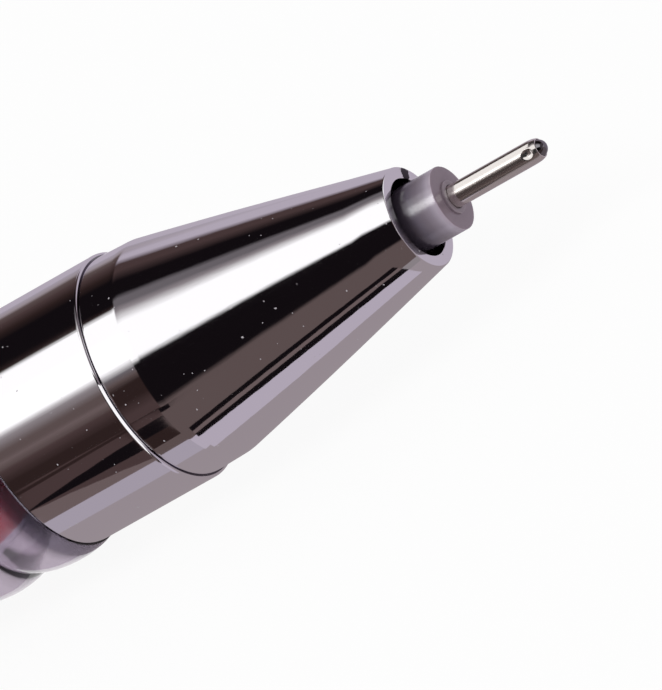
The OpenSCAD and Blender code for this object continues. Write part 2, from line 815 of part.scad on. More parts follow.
barrel();
thread_bush();
ferrule();
grip_sleeve();
grip_band();
nose_cone();
refill_tube();
ink_column();
ink_follower();
tail_plug();
tip_holder();
needle_tube();
writing_ball();
return_spring();
cam_sleeve();
cam_rotor();
plunger();
button_cap();
guide_bush();
rear_cap();
clip();
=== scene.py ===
# %% [markdown]
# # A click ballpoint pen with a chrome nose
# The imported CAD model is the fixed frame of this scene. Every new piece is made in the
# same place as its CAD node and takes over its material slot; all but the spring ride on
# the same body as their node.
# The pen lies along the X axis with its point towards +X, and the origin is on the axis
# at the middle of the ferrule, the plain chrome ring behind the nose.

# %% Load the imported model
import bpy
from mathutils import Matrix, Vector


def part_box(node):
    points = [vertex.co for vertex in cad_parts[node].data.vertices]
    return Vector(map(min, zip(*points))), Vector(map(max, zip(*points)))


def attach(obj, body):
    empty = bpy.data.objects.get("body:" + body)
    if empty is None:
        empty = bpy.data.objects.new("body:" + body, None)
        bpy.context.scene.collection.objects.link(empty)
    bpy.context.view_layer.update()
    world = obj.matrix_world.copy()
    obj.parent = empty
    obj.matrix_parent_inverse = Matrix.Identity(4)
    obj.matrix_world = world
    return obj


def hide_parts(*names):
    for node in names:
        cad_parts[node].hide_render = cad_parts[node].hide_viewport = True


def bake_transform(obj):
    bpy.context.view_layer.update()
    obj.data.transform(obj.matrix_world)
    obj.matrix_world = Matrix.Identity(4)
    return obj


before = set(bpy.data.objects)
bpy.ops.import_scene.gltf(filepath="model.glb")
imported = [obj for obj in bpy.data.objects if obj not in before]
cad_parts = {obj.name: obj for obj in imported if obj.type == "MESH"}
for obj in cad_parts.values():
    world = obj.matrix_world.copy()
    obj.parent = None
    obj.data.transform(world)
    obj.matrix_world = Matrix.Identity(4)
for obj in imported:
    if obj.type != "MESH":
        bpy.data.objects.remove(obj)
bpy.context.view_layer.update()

# %% [markdown]
# Lengths are written in millimetres, and MM turns them into metres, Blender's unit. Where
# a piece starts and ends and how thick it is, is read from the box of its CAD node, so
# the scene follows the CAD model.

# %% Blender's own modules, and a node's place on the pen
import math

import bmesh
import bpy
from mathutils import Matrix, Vector

MM = 0.001
scene = bpy.context.scene


def span(node):
    """Where a CAD node starts and ends along the pen, and its radius, in millimetres."""
    low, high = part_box(node)
    return round(low.x / MM, 3), round(high.x / MM, 3), round(-low.z / MM, 3)


print("ferrule from, to, radius", span("ferrule"))

# %% [markdown]
# ## The camera
# The photograph looks at the nose from above and slightly ahead. Its axis rises by
# 29.4 degrees in the picture, and the ellipse of the seam says how far the axis leans
# towards the camera. A very long lens gives the nearly parallel view of such a close-up.

# %% Place the camera
TO_CAMERA = Vector((0.462, -0.727, 0.508)).normalized()
RISE_IN_PICTURE = math.radians(29.4)
CAMERA_DISTANCE = 1.1
PICTURE_HEIGHT = 0.0261
MIDDLE_ALONG_PEN = 0.00978
MIDDLE_BELOW_AXIS = 0.00260
SENSOR = 36.0
NEAREST_SEEN = 0.05

pen_axis = Vector((1, 0, 0))
along = (pen_axis - TO_CAMERA * TO_CAMERA.x).normalized()
across = TO_CAMERA.cross(along)
picture_right = along * math.cos(RISE_IN_PICTURE) - across * math.sin(RISE_IN_PICTURE)
picture_up = along * math.sin(RISE_IN_PICTURE) + across * math.cos(RISE_IN_PICTURE)
picture_middle = pen_axis * MIDDLE_ALONG_PEN - across * MIDDLE_BELOW_AXIS

camera_data = bpy.data.cameras.new("camera")
camera_data.sensor_width = SENSOR
camera_data.lens = SENSOR * CAMERA_DISTANCE / PICTURE_HEIGHT
camera_data.clip_start = NEAREST_SEEN
camera = bpy.data.objects.new("camera", camera_data)
scene.collection.objects.link(camera)
turn = Matrix((picture_right, picture_up, TO_CAMERA)).transposed()
camera.matrix_world = (
    Matrix.Translation(picture_middle + TO_CAMERA * CAMERA_DISTANCE) @ turn.to_4x4()
)
scene.camera = camera
print("lens", round(camera_data.lens, 1), "mm")

# %% [markdown]
# ## Tools for the finishes
# A finish is a Principled shader with small procedural effects. A tree of nodes is easier
# to read as sums on sockets, so each helper adds one node, takes sockets or plain values,
# and returns what the node puts out. All patterns read Object coordinates, which are the
# pen's own metres, so they stay on the piece when it moves.

# %% Small helpers for node trees
def add_node(tree, kind, **settings):
    node = tree.nodes.new(kind)
    for name, value in settings.items():
        setattr(node, name, value)
    return node


def feed(tree, socket, value):
    """Links a socket to another node's output, or gives it a plain value."""
    if isinstance(value, bpy.types.NodeSocket):
        tree.links.new(value, socket)
    else:
        socket.default_value = value


def compute(tree, operation, *values):
    node = add_node(tree, "ShaderNodeMath", operation=operation)
    for socket, value in zip(node.inputs, values):
        feed(tree, socket, value)
    return node.outputs[0]


def spread(tree, source, low, high, start=0.0, stop=1.0):
    """Turns a value between start and stop into one between low and high."""
    node = add_node(tree, "ShaderNodeMapRange")
    settings = {"Value": source, "From Min": start, "From Max": stop, "To Min": low, "To Max": high}
    for title, value in settings.items():
        feed(tree, node.inputs[title], value)
    return node.outputs["Result"]


# %% Places and noise
RAGGED_FINENESS = 9000.0


def own_place(tree):
    """A point's own place on the pen, in metres."""
    return add_node(tree, "ShaderNodeTexCoord").outputs["Object"]


def split_place(tree):
    """The same place as three numbers: along the pen, across it and up."""
    parts = add_node(tree, "ShaderNodeSeparateXYZ")
    tree.links.new(own_place(tree), parts.inputs[0])
    return parts.outputs


def add_noise(tree, place, scale, detail=2.0):
    node = add_node(tree, "ShaderNodeTexNoise")
    for title, value in {"Vector": place, "Scale": scale, "Detail": detail}.items():
        feed(tree, node.inputs[title], value)
    return node.outputs


def ragged_place(tree, reach):
    """The place shaken by a fine noise, so that the edge of what reads it gets ragged."""
    place = own_place(tree)
    warp = add_node(tree, "ShaderNodeVectorMath", operation="MULTIPLY_ADD")
    shaken = add_noise(tree, place, RAGGED_FINENESS)["Color"]
    for socket, value in zip(warp.inputs, (shaken, (reach, reach, reach), place)):
        feed(tree, socket, value)
    return warp.outputs[0]


# %% [markdown]
# Effects that several finishes share are node groups, built once: fine lines left by
# drawing or polishing, specks of dust, and the soft grain of moulded plastic.

# %% Node groups
def group_with(name, inputs, outputs):
    """A node group with number inputs and outputs, and its two end nodes."""
    group = bpy.data.node_groups.new(name, "ShaderNodeTree")
    for title, value in inputs.items():
        socket = group.interface.new_socket(
            name=title, in_out="INPUT", socket_type="NodeSocketFloat"
        )
        socket.default_value = value
    for title in outputs:
        group.interface.new_socket(
            name=title, in_out="OUTPUT", socket_type="NodeSocketFloat"
        )
    return group, group.nodes.new("NodeGroupInput"), group.nodes.new("NodeGroupOutput")


def put_group(tree, group, **values):
    node = add_node(tree, "ShaderNodeGroup", node_tree=group)
    for title, value in values.items():
        node.inputs[title.replace("_", " ").capitalize()].default_value = value
    return node.outputs


# %% [markdown]
# ### Lines along the axis
# Turned and drawn metal keeps faint lines. The real ones are hair-thin and long, so the
# noise is stretched: it changes fast across the axis and slowly along it.

# %% Lines along the axis
def make_drawn_lines():
    group, start, end = group_with(
        "drawn_lines", {"Fineness": 9000.0, "Stretch": 30.0}, ["Lines"]
    )
    along_pen, across_pen, up = split_place(group)
    stretched = add_node(group, "ShaderNodeCombineXYZ")
    slow = compute(group, "DIVIDE", along_pen, start.outputs["Stretch"])
    for socket, value in zip(stretched.inputs, (slow, across_pen, up)):
        feed(group, socket, value)
    lines = add_noise(group, stretched.outputs[0], start.outputs["Fineness"])
    group.links.new(lines["Fac"], end.inputs["Lines"])
    return group


drawn_lines = make_drawn_lines()
print("group", drawn_lines.name)

# %% [markdown]
# ### Dust
# Close up, chrome is never clean. Voronoi cells give one possible speck each: a cell
# has one only if its random colour is low enough, and a warp makes the specks ragged.
# Dust gathers, so a slow noise gives some places many specks and others nearly none.

# %% Dust specks
DUST_WARP = 0.00012
PATCH_FINENESS = 420.0
PATCH_EDGES = (0.42, 0.68)
PATCH_SHARES = (0.25, 2.0)
MOSTLY_SMALL = 1.6


def make_dust():
    group, start, end = group_with(
        "dust", {"Cells": 1500.0, "Share": 0.1, "Speck size": 0.1}, ["Mask"]
    )
    cells = add_node(group, "ShaderNodeTexVoronoi")
    feed(group, cells.inputs["Vector"], ragged_place(group, DUST_WARP))
    feed(group, cells.inputs["Scale"], start.outputs["Cells"])
    luck = add_node(group, "ShaderNodeSeparateColor")
    feed(group, luck.inputs[0], cells.outputs["Color"])
    patches = add_noise(group, own_place(group), PATCH_FINENESS)["Fac"]
    crowd = spread(group, patches, *PATCH_SHARES, *PATCH_EDGES)
    local_share = compute(group, "MULTIPLY", crowd, start.outputs["Share"])
    chosen = compute(group, "LESS_THAN", luck.outputs["Red"], local_share)
    mostly_small = compute(group, "POWER", luck.outputs["Green"], MOSTLY_SMALL)
    size = compute(group, "MULTIPLY", mostly_small, start.outputs["Speck size"])
    small = compute(group, "LESS_THAN", cells.outputs["Distance"], size)
    group.links.new(compute(group, "MULTIPLY", chosen, small), end.inputs["Mask"])
    return group


dust = make_dust()
print("group", dust.name)

# %% [markdown]
# ### Moulded grain
# Moulded plastic has a soft, slightly uneven skin. One noise in two sizes is enough for
# both the tiny relief and the change in roughness.

# %% Moulded grain
CLOUD_TO_GRAIN = 0.12


def make_moulded_grain():
    group, start, end = group_with("moulded_grain", {"Fineness": 6000.0}, ["Grain", "Cloud"])
    fineness = start.outputs["Fineness"]
    fine = add_noise(group, own_place(group), fineness, detail=3.0)
    coarse = compute(group, "MULTIPLY", fineness, CLOUD_TO_GRAIN)
    cloud = add_noise(group, own_place(group), coarse)
    group.links.new(fine["Fac"], end.inputs["Grain"])
    group.links.new(cloud["Fac"], end.inputs["Cloud"])
    return group


moulded_grain = make_moulded_grain()
print("group", moulded_grain.name)

# %% [markdown]
# ## The finishes
# Each slot of the record gets one material or a few close relatives. Colours are written
# as the eye sees them, from 0 to 255, and a small function turns them into Blender's
# linear values.

# %% Colours and shared steps of a finish
def seen(*shades):
    """A colour as seen on a screen, 0 to 255, as Blender's linear values."""
    linear = [
        s / 255 / 12.92 if s / 255 <= 0.04045 else ((s / 255 + 0.055) / 1.055) ** 2.4
        for s in shades
    ]
    return (*linear, 1.0)


def shader_of(material):
    return material.node_tree.nodes["Principled BSDF"]


def start_finish(name, colour, roughness, metallic=0.0):
    material = bpy.data.materials.new(name)
    material.use_nodes = True
    shader = shader_of(material)
    shader.inputs["Base Color"].default_value = colour
    shader.inputs["Roughness"].default_value = roughness
    shader.inputs["Metallic"].default_value = metallic
    return material, material.node_tree, shader


def vary_roughness(tree, shader, source, low, high):
    """Makes a finish duller and shinier, between two shares of its plain roughness."""
    plain = shader.inputs["Roughness"].default_value
    varied = spread(tree, source, plain * low, plain * high)
    tree.links.new(varied, shader.inputs["Roughness"])


def relief(tree, shader, source, height):
    bump = add_node(tree, "ShaderNodeBump")
    bump.inputs["Distance"].default_value = height
    tree.links.new(source, bump.inputs["Height"])
    tree.links.new(bump.outputs["Normal"], shader.inputs["Normal"])


def mix_colours(tree, mask, first, second, way="MIX"):
    """The first colour where the mask is 0, the second where it is 1."""
    node = add_node(tree, "ShaderNodeMix", data_type="RGBA", blend_type=way)
    ends = [socket for socket in node.inputs if socket.type == "RGBA"]
    for end, colour in zip(ends, (first, second)):
        feed(tree, end, colour)
    feed(tree, node.inputs["Factor"], mask)
    return next(socket for socket in node.outputs if socket.type == "RGBA")


def paint(material, colour):
    """Feeds a finish's colour from a node."""
    material.node_tree.links.new(colour, shader_of(material).inputs["Base Color"])


def painted(material):
    """What feeds a finish's colour now."""
    return shader_of(material).inputs["Base Color"].links[0].from_socket


# %% [markdown]
# ### Metals
# Chrome is almost a mirror, so what it shows is the room. Its own detail is faint lines,
# a little haze and specks of dust, which are dull and pale where the chrome is dark.
# Brass, needle steel and spring wire share the same build with other values. The
# ferrule's two end faces, where it meets the nose and the grip, get a painted shade.

# %% Metals
WAVE_FINENESS = 700.0
WAVE_STRETCH = 9.0
DUST_CELLS = 4200.0
SPECK_SIZE = 0.2
DUST_SHADE = seen(186, 180, 186)
# painted shade for the ferrule's end faces, where it meets the nose and the grip
END_FACE_PAINTED_SHADE = seen(92, 86, 97)
SEAM = span("ferrule")[1]
SHADED_RIM = 0.0007  # how much of the ferrule's rounded edge gets the painted shade, along the pen


def make_metal(
    name, colour, roughness, line_height, fineness, stretch, share, wave=0.0,
    painted_shade_from=None, mirror=1.0,
):
    """painted_shade_from is how far along the pen the painted shade of the end faces starts.
    mirror is how much of the look is mirror: the rest is the haze of fine scratches."""
    material, tree, shader = start_finish(name, colour, roughness, 1.0)
    height = put_group(tree, drawn_lines, fineness=fineness, stretch=stretch)["Lines"]
    vary_roughness(tree, shader, height, 0.6, 1.5)
    if wave:
        waves = put_group(tree, drawn_lines, fineness=WAVE_FINENESS, stretch=WAVE_STRETCH)
        height = compute(tree, "MULTIPLY_ADD", waves["Lines"], wave, height)
    relief(tree, shader, height, line_height)
    # painted shade: the end faces between the ferrule and its neighbours get a dark dull colour
    if painted_shade_from:
        distance = compute(tree, "ABSOLUTE", split_place(tree)["X"])
        shaded_end = compute(tree, "GREATER_THAN", distance, painted_shade_from)
        colour = mix_colours(tree, shaded_end, colour, END_FACE_PAINTED_SHADE)
    specks = put_group(tree, dust, cells=DUST_CELLS, share=share, speck_size=SPECK_SIZE)["Mask"]
    paint(material, mix_colours(tree, specks, colour, DUST_SHADE))
    tree.links.new(spread(tree, specks, mirror, 0.0), shader.inputs["Metallic"])
    return material


# colour, roughness, height of the lines in metres, their fineness and stretch, the share
# of dust, and the wave
chrome = (seen(250, 248, 251), 0.05, 1e-6, 5000.0, 40.0, 0.18, 5.0)
worn_chrome = (seen(222, 219, 223), 0.11, 1e-6, 5000.0, 40.0, 0.12, 5.0)
finishes = {
    "chrome": make_metal("chrome", *chrome),
    "worn_chrome": make_metal("worn_chrome", *worn_chrome),
    # its end faces get painted shade
    "ferrule_chrome": make_metal(
        "chrome_with_painted_shade_ends", *chrome, painted_shade_from=(SEAM - SHADED_RIM) * MM
    ),
    "brass": make_metal("turned_brass", seen(214, 176, 104), 0.22, 2e-6, 9000.0, 1.0, 0.02),
    "needle_steel": make_metal(
        "needle_steel", seen(232, 226, 222), 0.12, 1e-6, 16000.0, 30.0, 0.06, mirror=0.96
    ),
    "ball_metal": make_metal("ball_metal", seen(140, 137, 141), 0.1, 5e-7, 20000.0, 1.0, 0.0),
    "spring_steel": make_metal(
        "spring_wire", seen(200, 198, 202), 0.25, 2e-6, 16000.0, 1.0, 0.02
    ),
}
print("metals", sorted(finishes))

# %% [markdown]
# The nose has one small mark: a dark, ragged nick in the plating at the mouth's rim. It
# is a ball of shade round one place, and the shaken place gives it its ragged edge.

# %% A nick in the nose's plating
NICK_SHADE = seen(56, 50, 56)
NICK_PLACE = (0.0157, 0.00162, 0.00092)
NICK_SIZE = 0.00026


def add_nick(material, middle, size):
    """A dark ragged nick round a place in metres."""
    tree = material.node_tree
    gap = add_node(tree, "ShaderNodeVectorMath", operation="DISTANCE")
    tree.links.new(ragged_place(tree, size), gap.inputs[0])
    # the noise shakes every place by half its reach on average
    gap.inputs[1].default_value = [place + size / 2 for place in middle]
    nick = compute(tree, "LESS_THAN", gap.outputs["Value"], size)
    paint(material, mix_colours(tree, nick, painted(material), NICK_SHADE))
    return material


finishes["nose_chrome"] = add_nick(make_metal("nose_chrome", *chrome), NICK_PLACE, NICK_SIZE)
print("nick of", NICK_SIZE / MM, "mm")

# %% [markdown]
# ### Clear plastics
# The grip, the barrel and the refill's tube are clear. Glass in Blender is a shader with
# Transmission 1, and the wall of each tube is real geometry, so light bends as it does
# in the real pen. The refraction and the transmission stay plain numbers. The grip's
# colour carries painted shade: a dark line in each groove, and a darker front end that
# stands for the ferrule's shaded end seen through it.

# %% Clear plastics
CLEAR_GRAIN = 2500.0


def make_clear(name, colour, roughness, index, grain_height):
    material, tree, shader = start_finish(name, colour, roughness)
    shader.inputs["Transmission Weight"].default_value = 1.0
    shader.inputs["IOR"].default_value = index
    grain = put_group(tree, moulded_grain, fineness=CLEAR_GRAIN)
    relief(tree, shader, grain["Cloud"], grain_height)
    vary_roughness(tree, shader, grain["Grain"], 0.5, 1.5)
    return material


# %% Painted shade in the grip's grooves and at its front end
RINGS = 12
GRIP_END, GRIP_FRONT, _ = span("grip_sleeve")
RING_PITCH = (GRIP_FRONT - GRIP_END) / RINGS
# these are shares of a ring, counted from a groove and from the grip's front
GROOVE_SHADE_EDGES = (0.008, 0.03)
END_SHADE_EDGES = (0.2, 0.38)


# Paints shade into the grip's colour: a dark line along each groove, and a darker front end.
def paint_groove_and_end_shade(material, colour, painted_groove_shade, painted_end_shade):
    tree = material.node_tree
    ring = RING_PITCH * MM
    depth = compute(
        tree, "MULTIPLY_ADD", split_place(tree)["X"], -1 / ring, GRIP_FRONT * MM / ring
    )
    # painted shade along each groove
    groove = spread(tree, compute(tree, "PINGPONG", depth, 0.5), 1.0, 0.0, *GROOVE_SHADE_EDGES)
    # painted shade at the front end, where the ferrule's shaded end shows through
    end_shade_mask = spread(tree, depth, 1.0, 0.0, *END_SHADE_EDGES)
    shade = mix_colours(tree, groove, colour, painted_groove_shade)
    paint(material, mix_colours(tree, end_shade_mask, shade, painted_end_shade))
    return material


grip_tint = seen(224, 217, 225)
# the last two colours are the painted shade of the grooves and of the front end
finishes["clear_grip"] = paint_groove_and_end_shade(
    make_clear("clear_grip", grip_tint, 0.05, 1.46, 8e-6),
    grip_tint, seen(128, 119, 128), seen(84, 79, 92),
)
finishes["clear_barrel"] = make_clear("clear_barrel", seen(243, 241, 246), 0.03, 1.49, 3e-6)
finishes["refill_tube"] = make_clear("refill_tube", seen(246, 245, 248), 0.06, 1.46, 3e-6)
finishes["grease"] = make_clear("follower_grease", seen(238, 228, 186), 0.12, 1.45, 2e-5)
print("ring pitch", round(RING_PITCH, 3), "mm")

# %% [markdown]
# ### Moulded plastics and ink
# The moulded pieces share one build: two close shades in soft clouds, and a fine grain.
# The grey ones are slightly see-through, which a little subsurface scattering gives.
# The ink is a deep wet red. Light loses its way in the five clear walls round it, so it
# gets a little light of its own.

# %% Moulded plastics and ink
MOULDED_GRAIN = 7000.0
SOFT_DEPTH = 0.0004
SOFT_RADIUS = (1.0, 0.9, 1.0)


def make_moulded(name, light, dark, roughness, grain_height, soft=0.0):
    material, tree, shader = start_finish(name, light, roughness)
    grain = put_group(tree, moulded_grain, fineness=MOULDED_GRAIN)
    paint(material, mix_colours(tree, grain["Cloud"], light, dark))
    vary_roughness(tree, shader, grain["Grain"], 0.8, 1.2)
    relief(tree, shader, grain["Grain"], grain_height)
    if soft:
        shader.inputs["Subsurface Weight"].default_value = soft
        shader.inputs["Subsurface Scale"].default_value = SOFT_DEPTH
        shader.inputs["Subsurface Radius"].default_value = SOFT_RADIUS
    return material


finishes["grey_plastic"] = make_moulded(
    "grey_plastic", seen(172, 163, 175), seen(150, 141, 154), 0.28, 3e-6, 0.25
)
finishes["dark_plastic"] = make_moulded(
    "dark_plastic", seen(92, 91, 97), seen(74, 73, 79), 0.42, 6e-6
)
finishes["white_plastic"] = make_moulded(
    "white_plastic", seen(232, 231, 229), seen(219, 217, 214), 0.38, 5e-6, 0.1
)
finishes["ink"] = make_moulded("red_ink", seen(196, 18, 52), seen(160, 8, 36), 0.12, 2e-6)
shader_of(finishes["ink"]).inputs["Emission Color"].default_value = seen(204, 30, 66)
shader_of(finishes["ink"]).inputs["Emission Strength"].default_value = 0.4

# %% [markdown]
# The holder of the needle has painted light and shade in its colour: painted shade where
# it stands deep in the nose and on its front face, and painted light towards its front
# edge. A ramp of shades along the pen tints the moulding's own colour.

# %% The holder's painted light and shade along the pen
# painted shade deep in the nose and on the front face, painted light near the front edge
HOLDER_PAINTED_LIGHT_AND_SHADE = [
    (15.5, seen(62, 54, 65)), (15.85, seen(68, 60, 71)), (16.2, seen(106, 99, 111)),
    (16.6, seen(128, 119, 129)), (16.9, seen(150, 141, 152)), (17.15, seen(178, 169, 181)),
    (17.32, seen(180, 168, 180)), (17.34, seen(146, 130, 140)), (17.5, seen(158, 146, 152)),
]


def colour_ramp(tree, share, stops):
    """Colours along a 0 to 1 value, from stops of (value, colour) that start at 0."""
    node = add_node(tree, "ShaderNodeValToRGB")
    marks = node.color_ramp.elements
    marks.remove(marks[-1])
    marks[0].color = stops[0][1]
    for value, colour in stops[1:]:
        marks.new(value).color = colour
    tree.links.new(share, node.inputs["Fac"])
    return node.outputs["Color"]


def paint_light_and_shade_along(material, stops):
    """Paints light and shade into a finish by the place along the pen: stops are (place in mm,
    shade).
    """
    tree = material.node_tree
    start, end = stops[0][0], stops[-1][0]
    share = spread(tree, split_place(tree)["X"], 0.0, 1.0, start * MM, end * MM)
    shares = [((place - start) / (end - start), shade) for place, shade in stops]
    painted_tint = colour_ramp(tree, share, shares)
    paint(material, mix_colours(tree, 1.0, painted(material), painted_tint, way="MULTIPLY"))
    return material


# the holder's colour gets painted shade and painted light along the pen
finishes["holder_painted_light_and_shade"] = paint_light_and_shade_along(
    make_moulded("holder_painted_light_and_shade", seen(252, 250, 252), seen(234, 231, 236), 0.2, 3e-6, 0.25),
    HOLDER_PAINTED_LIGHT_AND_SHADE,
)
shader_of(finishes["holder_painted_light_and_shade"]).inputs["Specular IOR Level"].default_value = 0.9
print("finishes", len(finishes))

# %% [markdown]
# ## Tools for the shapes
# Nearly every piece of a pen is turned, so it is an outline spun about the X axis. The
# outline is a ring of wire: each corner has a station along the axis, a radius, and how
# far its rounding reaches along both sides. Shapes are made in millimetres, because
# Blender's tools stumble over a bevel of a few thousandths of a metre, and become
# metres at the end.

# %% Outline and spin of a turned piece
SIDES = 160
FINE_SIDES = 144
INK_SIDES = 96
SAME_PLACE = 1e-4


def wire_outline(corners, rounds=4):
    bm = bmesh.new()
    points = [bm.verts.new((corner[0], 0, corner[1])) for corner in corners]
    for first, second in zip(points, points[1:] + points[:1]):
        bm.edges.new((first, second))
    reaches = [corner[2] if len(corner) > 2 else 0 for corner in corners]
    for reach in sorted(set(reaches) - {0}):
        bmesh.ops.bevel(
            bm,
            geom=[p for p, r in zip(points, reaches) if r == reach],
            offset=reach,
            offset_type="OFFSET",
            segments=rounds,
            profile=0.5,
            affect="VERTICES",
            clamp_overlap=True,
            material=-1,
        )
    return bm


def spin_round(bm, sides):
    bmesh.ops.spin(
        bm,
        geom=bm.verts[:] + bm.edges[:],
        cent=(0, 0, 0),
        axis=(1, 0, 0),
        dvec=(0, 0, 0),
        angle=math.tau,
        steps=sides,
        use_merge=True,
    )
    bmesh.ops.remove_doubles(bm, verts=bm.verts[:], dist=SAME_PLACE)


# %% From a bmesh to a piece
SHARP_ANGLE = math.radians(32)


def to_object(bm, name):
    mesh = bpy.data.meshes.new(name)
    bm.to_mesh(mesh)
    bm.free()
    made = bpy.data.objects.new(name, mesh)
    scene.collection.objects.link(made)
    return made


def to_piece(bm, name):
    """Makes a piece in metres from a bmesh in millimetres, smooth but for its edges."""
    stray = [edge for edge in bm.edges if not edge.link_faces]
    bmesh.ops.delete(bm, geom=stray, context="EDGES")
    bmesh.ops.recalc_face_normals(bm, faces=bm.faces[:])
    bmesh.ops.scale(bm, vec=(MM, MM, MM), verts=bm.verts[:])
    for face in bm.faces:
        face.smooth = True
    for edge in bm.edges:
        edge.smooth = edge.calc_face_angle(0.0) < SHARP_ANGLE
    loose = sum(1 for edge in bm.edges if not edge.is_manifold)
    piece = to_object(bm, name)
    weighted = piece.modifiers.new("even_shading", "WEIGHTED_NORMAL")
    weighted.keep_sharp = True
    print(name, len(piece.data.polygons), "faces,", loose, "open edges")
    return piece


def turned(name, corners, rounds=4, sides=SIDES):
    bm = wire_outline(corners, rounds)
    spin_round(bm, sides)
    return to_piece(bm, name)


def stand_for(piece, slot, *nodes, finish=None):
    """Gives a piece the finish of its slot, or the finish named, and hides the CAD nodes it stands
    for.
    """
    piece.data.materials.clear()
    piece.data.materials.append(finishes[finish or slot])
    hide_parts(*nodes)


def dress(piece, body, slot, *nodes, finish=None):
    """The same, for a piece that rides on one body."""
    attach(piece, body)
    stand_for(piece, slot, *nodes, finish=finish)


# %% [markdown]
# ## The nose
# The chrome nose has a short, nearly straight band behind a soft shoulder, then a cone
# down to the mouth. The cone swells by a few hundredths of a millimetre. The shoulder's
# rounding is wide and shallow, the edges at the seam and the mouth are tiny. A corner
# close to each rounding keeps the stretch between them straight: without it the smooth
# shading would bend the whole band. Inside are the steps for the thread, the collar and
# the spring.

# %% Nose
MOUTH, BASE_RADIUS = span("nose_cone")[1:]
SHOULDER = SEAM + 1.65
SHOULDER_RADIUS = 4.585
MOUTH_RADIUS = 2.10
MOUTH_BORE = 1.625
MOUTH_DEPTH = 2.8
SPRING_BORE = 2.221
COLLAR_STEP = 9.45
COLLAR_BORE = 2.987
THREAD_STEP = 6.45
THREAD_BORE = 3.70
CONE_FALL = (SHOULDER_RADIUS - MOUTH_RADIUS) / (MOUTH - SHOULDER)
# how far down the cone, and how far it swells there beyond a straight cone
CONE_SWELL = [(2.2, 0.030), (5.2, 0.045), (8.6, 0.025)]


def on_line(start, end, reach):
    """The corner on the line from start to end that lies reach along the pen from start."""
    slope = (end[1] - start[1]) / (end[0] - start[0])
    return start[0] + reach, start[1] + reach * slope


def nose_corners():
    base = (SEAM, BASE_RADIUS, 0.05)
    shoulder = (SHOULDER, SHOULDER_RADIUS, 0.16)
    cone = [
        (SHOULDER + reach, SHOULDER_RADIUS - reach * CONE_FALL + swell, 0.9)
        for reach, swell in CONE_SWELL
    ]
    return [
        (SEAM, THREAD_BORE),
        base,
        on_line(base, shoulder, 0.12),
        on_line(shoulder, base, -0.22),
        shoulder,
        on_line(shoulder, cone[0], 0.25),
        *cone,
        (MOUTH, MOUTH_RADIUS, 0.05),
        (MOUTH, MOUTH_BORE, 0.04),
        (MOUTH - MOUTH_DEPTH, MOUTH_BORE),
        (MOUTH - MOUTH_DEPTH, SPRING_BORE),
        (COLLAR_STEP, SPRING_BORE),
        (COLLAR_STEP, COLLAR_BORE),
        (THREAD_STEP, COLLAR_BORE),
        (THREAD_STEP, THREAD_BORE),
    ]


dress(turned("nose", nose_corners()), "nose", "chrome", "nose_cone", finish="nose_chrome")

# %% [markdown]
# ## Ferrule and grip band
# Two plain rings on the barrel's neck. What makes them look real is the fine rounding of
# their edges, which catches a thin line of light along the seam.

# %% Ferrule and grip band
RING_BORE = 4.30
FERRULE_RADIUS = span("ferrule")[2]
BARREL_FRONT, _, BARREL_RADIUS = span("grip_band")


def plain_ring(name, rear, front, radius, rear_round, front_round):
    return turned(
        name,
        [
            (rear, RING_BORE), (rear, radius, rear_round),
            (front, radius, front_round), (front, RING_BORE),
        ],
    )


dress(
    plain_ring("ferrule_ring", -SEAM, SEAM, FERRULE_RADIUS, 0.07, 0.11),
    "barrel", "chrome", "ferrule", finish="ferrule_chrome",
)
dress(
    plain_ring("grip_end_band", BARREL_FRONT, GRIP_END, BARREL_RADIUS, 0.05, 0.12),
    "barrel", "chrome", "grip_band", finish="worn_chrome",
)

# %% [markdown]
# ## The ringed grip
# Twelve rounded rings stand between sharp grooves. The outline goes up to a peak and
# down to a groove for each ring, and one wide rounding of every peak turns the zigzag
# into a row of soft arcs. The sleeve is slimmest a little ahead of its middle.

# %% Ringed grip
RISE = 0.34
WAIST = 0.25
WAIST_START = 0.2
GRIP_RADIUS = 5.225
END_RADIUS = GRIP_RADIUS - RISE - 0.03


def grip_corners():
    corners = [(GRIP_FRONT, RING_BORE), (GRIP_FRONT, END_RADIUS)]
    for ring in range(RINGS):
        share = WAIST_START + (1 - WAIST_START) * (ring + 0.5) / RINGS
        groove = GRIP_RADIUS - WAIST * math.sin(math.pi * share) - RISE
        front = GRIP_FRONT - ring * RING_PITCH
        if ring:
            corners.append((front, groove, 0.03))
        corners.append((front - RING_PITCH / 2, groove + 2 * RISE, 1.5))
    return corners + [(GRIP_END, END_RADIUS), (GRIP_END, RING_BORE)]


dress(turned("ringed_grip", grip_corners(), rounds=10), "barrel", "clear_grip", "grip_sleeve")

# %% [markdown]
# ## The clear barrel
# One moulding: the full tube, a slim neck inside the grip that holds the threaded bush,
# a funnel that leads the refill into the neck, and a rear neck inside the cap.

# %% Barrel
BARREL_END = span("barrel")[0]
CAP_FRONT = -108.25
CAP_NECK = 4.75
NECK = 4.25
BORE = 4.25
NECK_BORE = 3.15
BUSH_STEP = -2.20
FUNNEL = 3

dress(
    turned(
        "clear_tube",
        [
            (SEAM, THREAD_BORE),
            (SEAM, NECK, 0.05),
            (BARREL_FRONT, NECK),
            (BARREL_FRONT, BARREL_RADIUS, 0.08),
            (CAP_FRONT, BARREL_RADIUS, 0.08),
            (CAP_FRONT, CAP_NECK),
            (BARREL_END, CAP_NECK, 0.1),
            (BARREL_END, BORE),
            (BARREL_FRONT - FUNNEL, BORE, 0.4),
            (BARREL_FRONT, NECK_BORE, 0.3),
            (BUSH_STEP, NECK_BORE),
            (BUSH_STEP, THREAD_BORE),
        ],
    ),
    "barrel", "clear_barrel", "barrel",
)

# %% [markdown]
# ## The threaded bush
# The nose screws onto a brass bush. Its thread is a row of shallow V grooves.

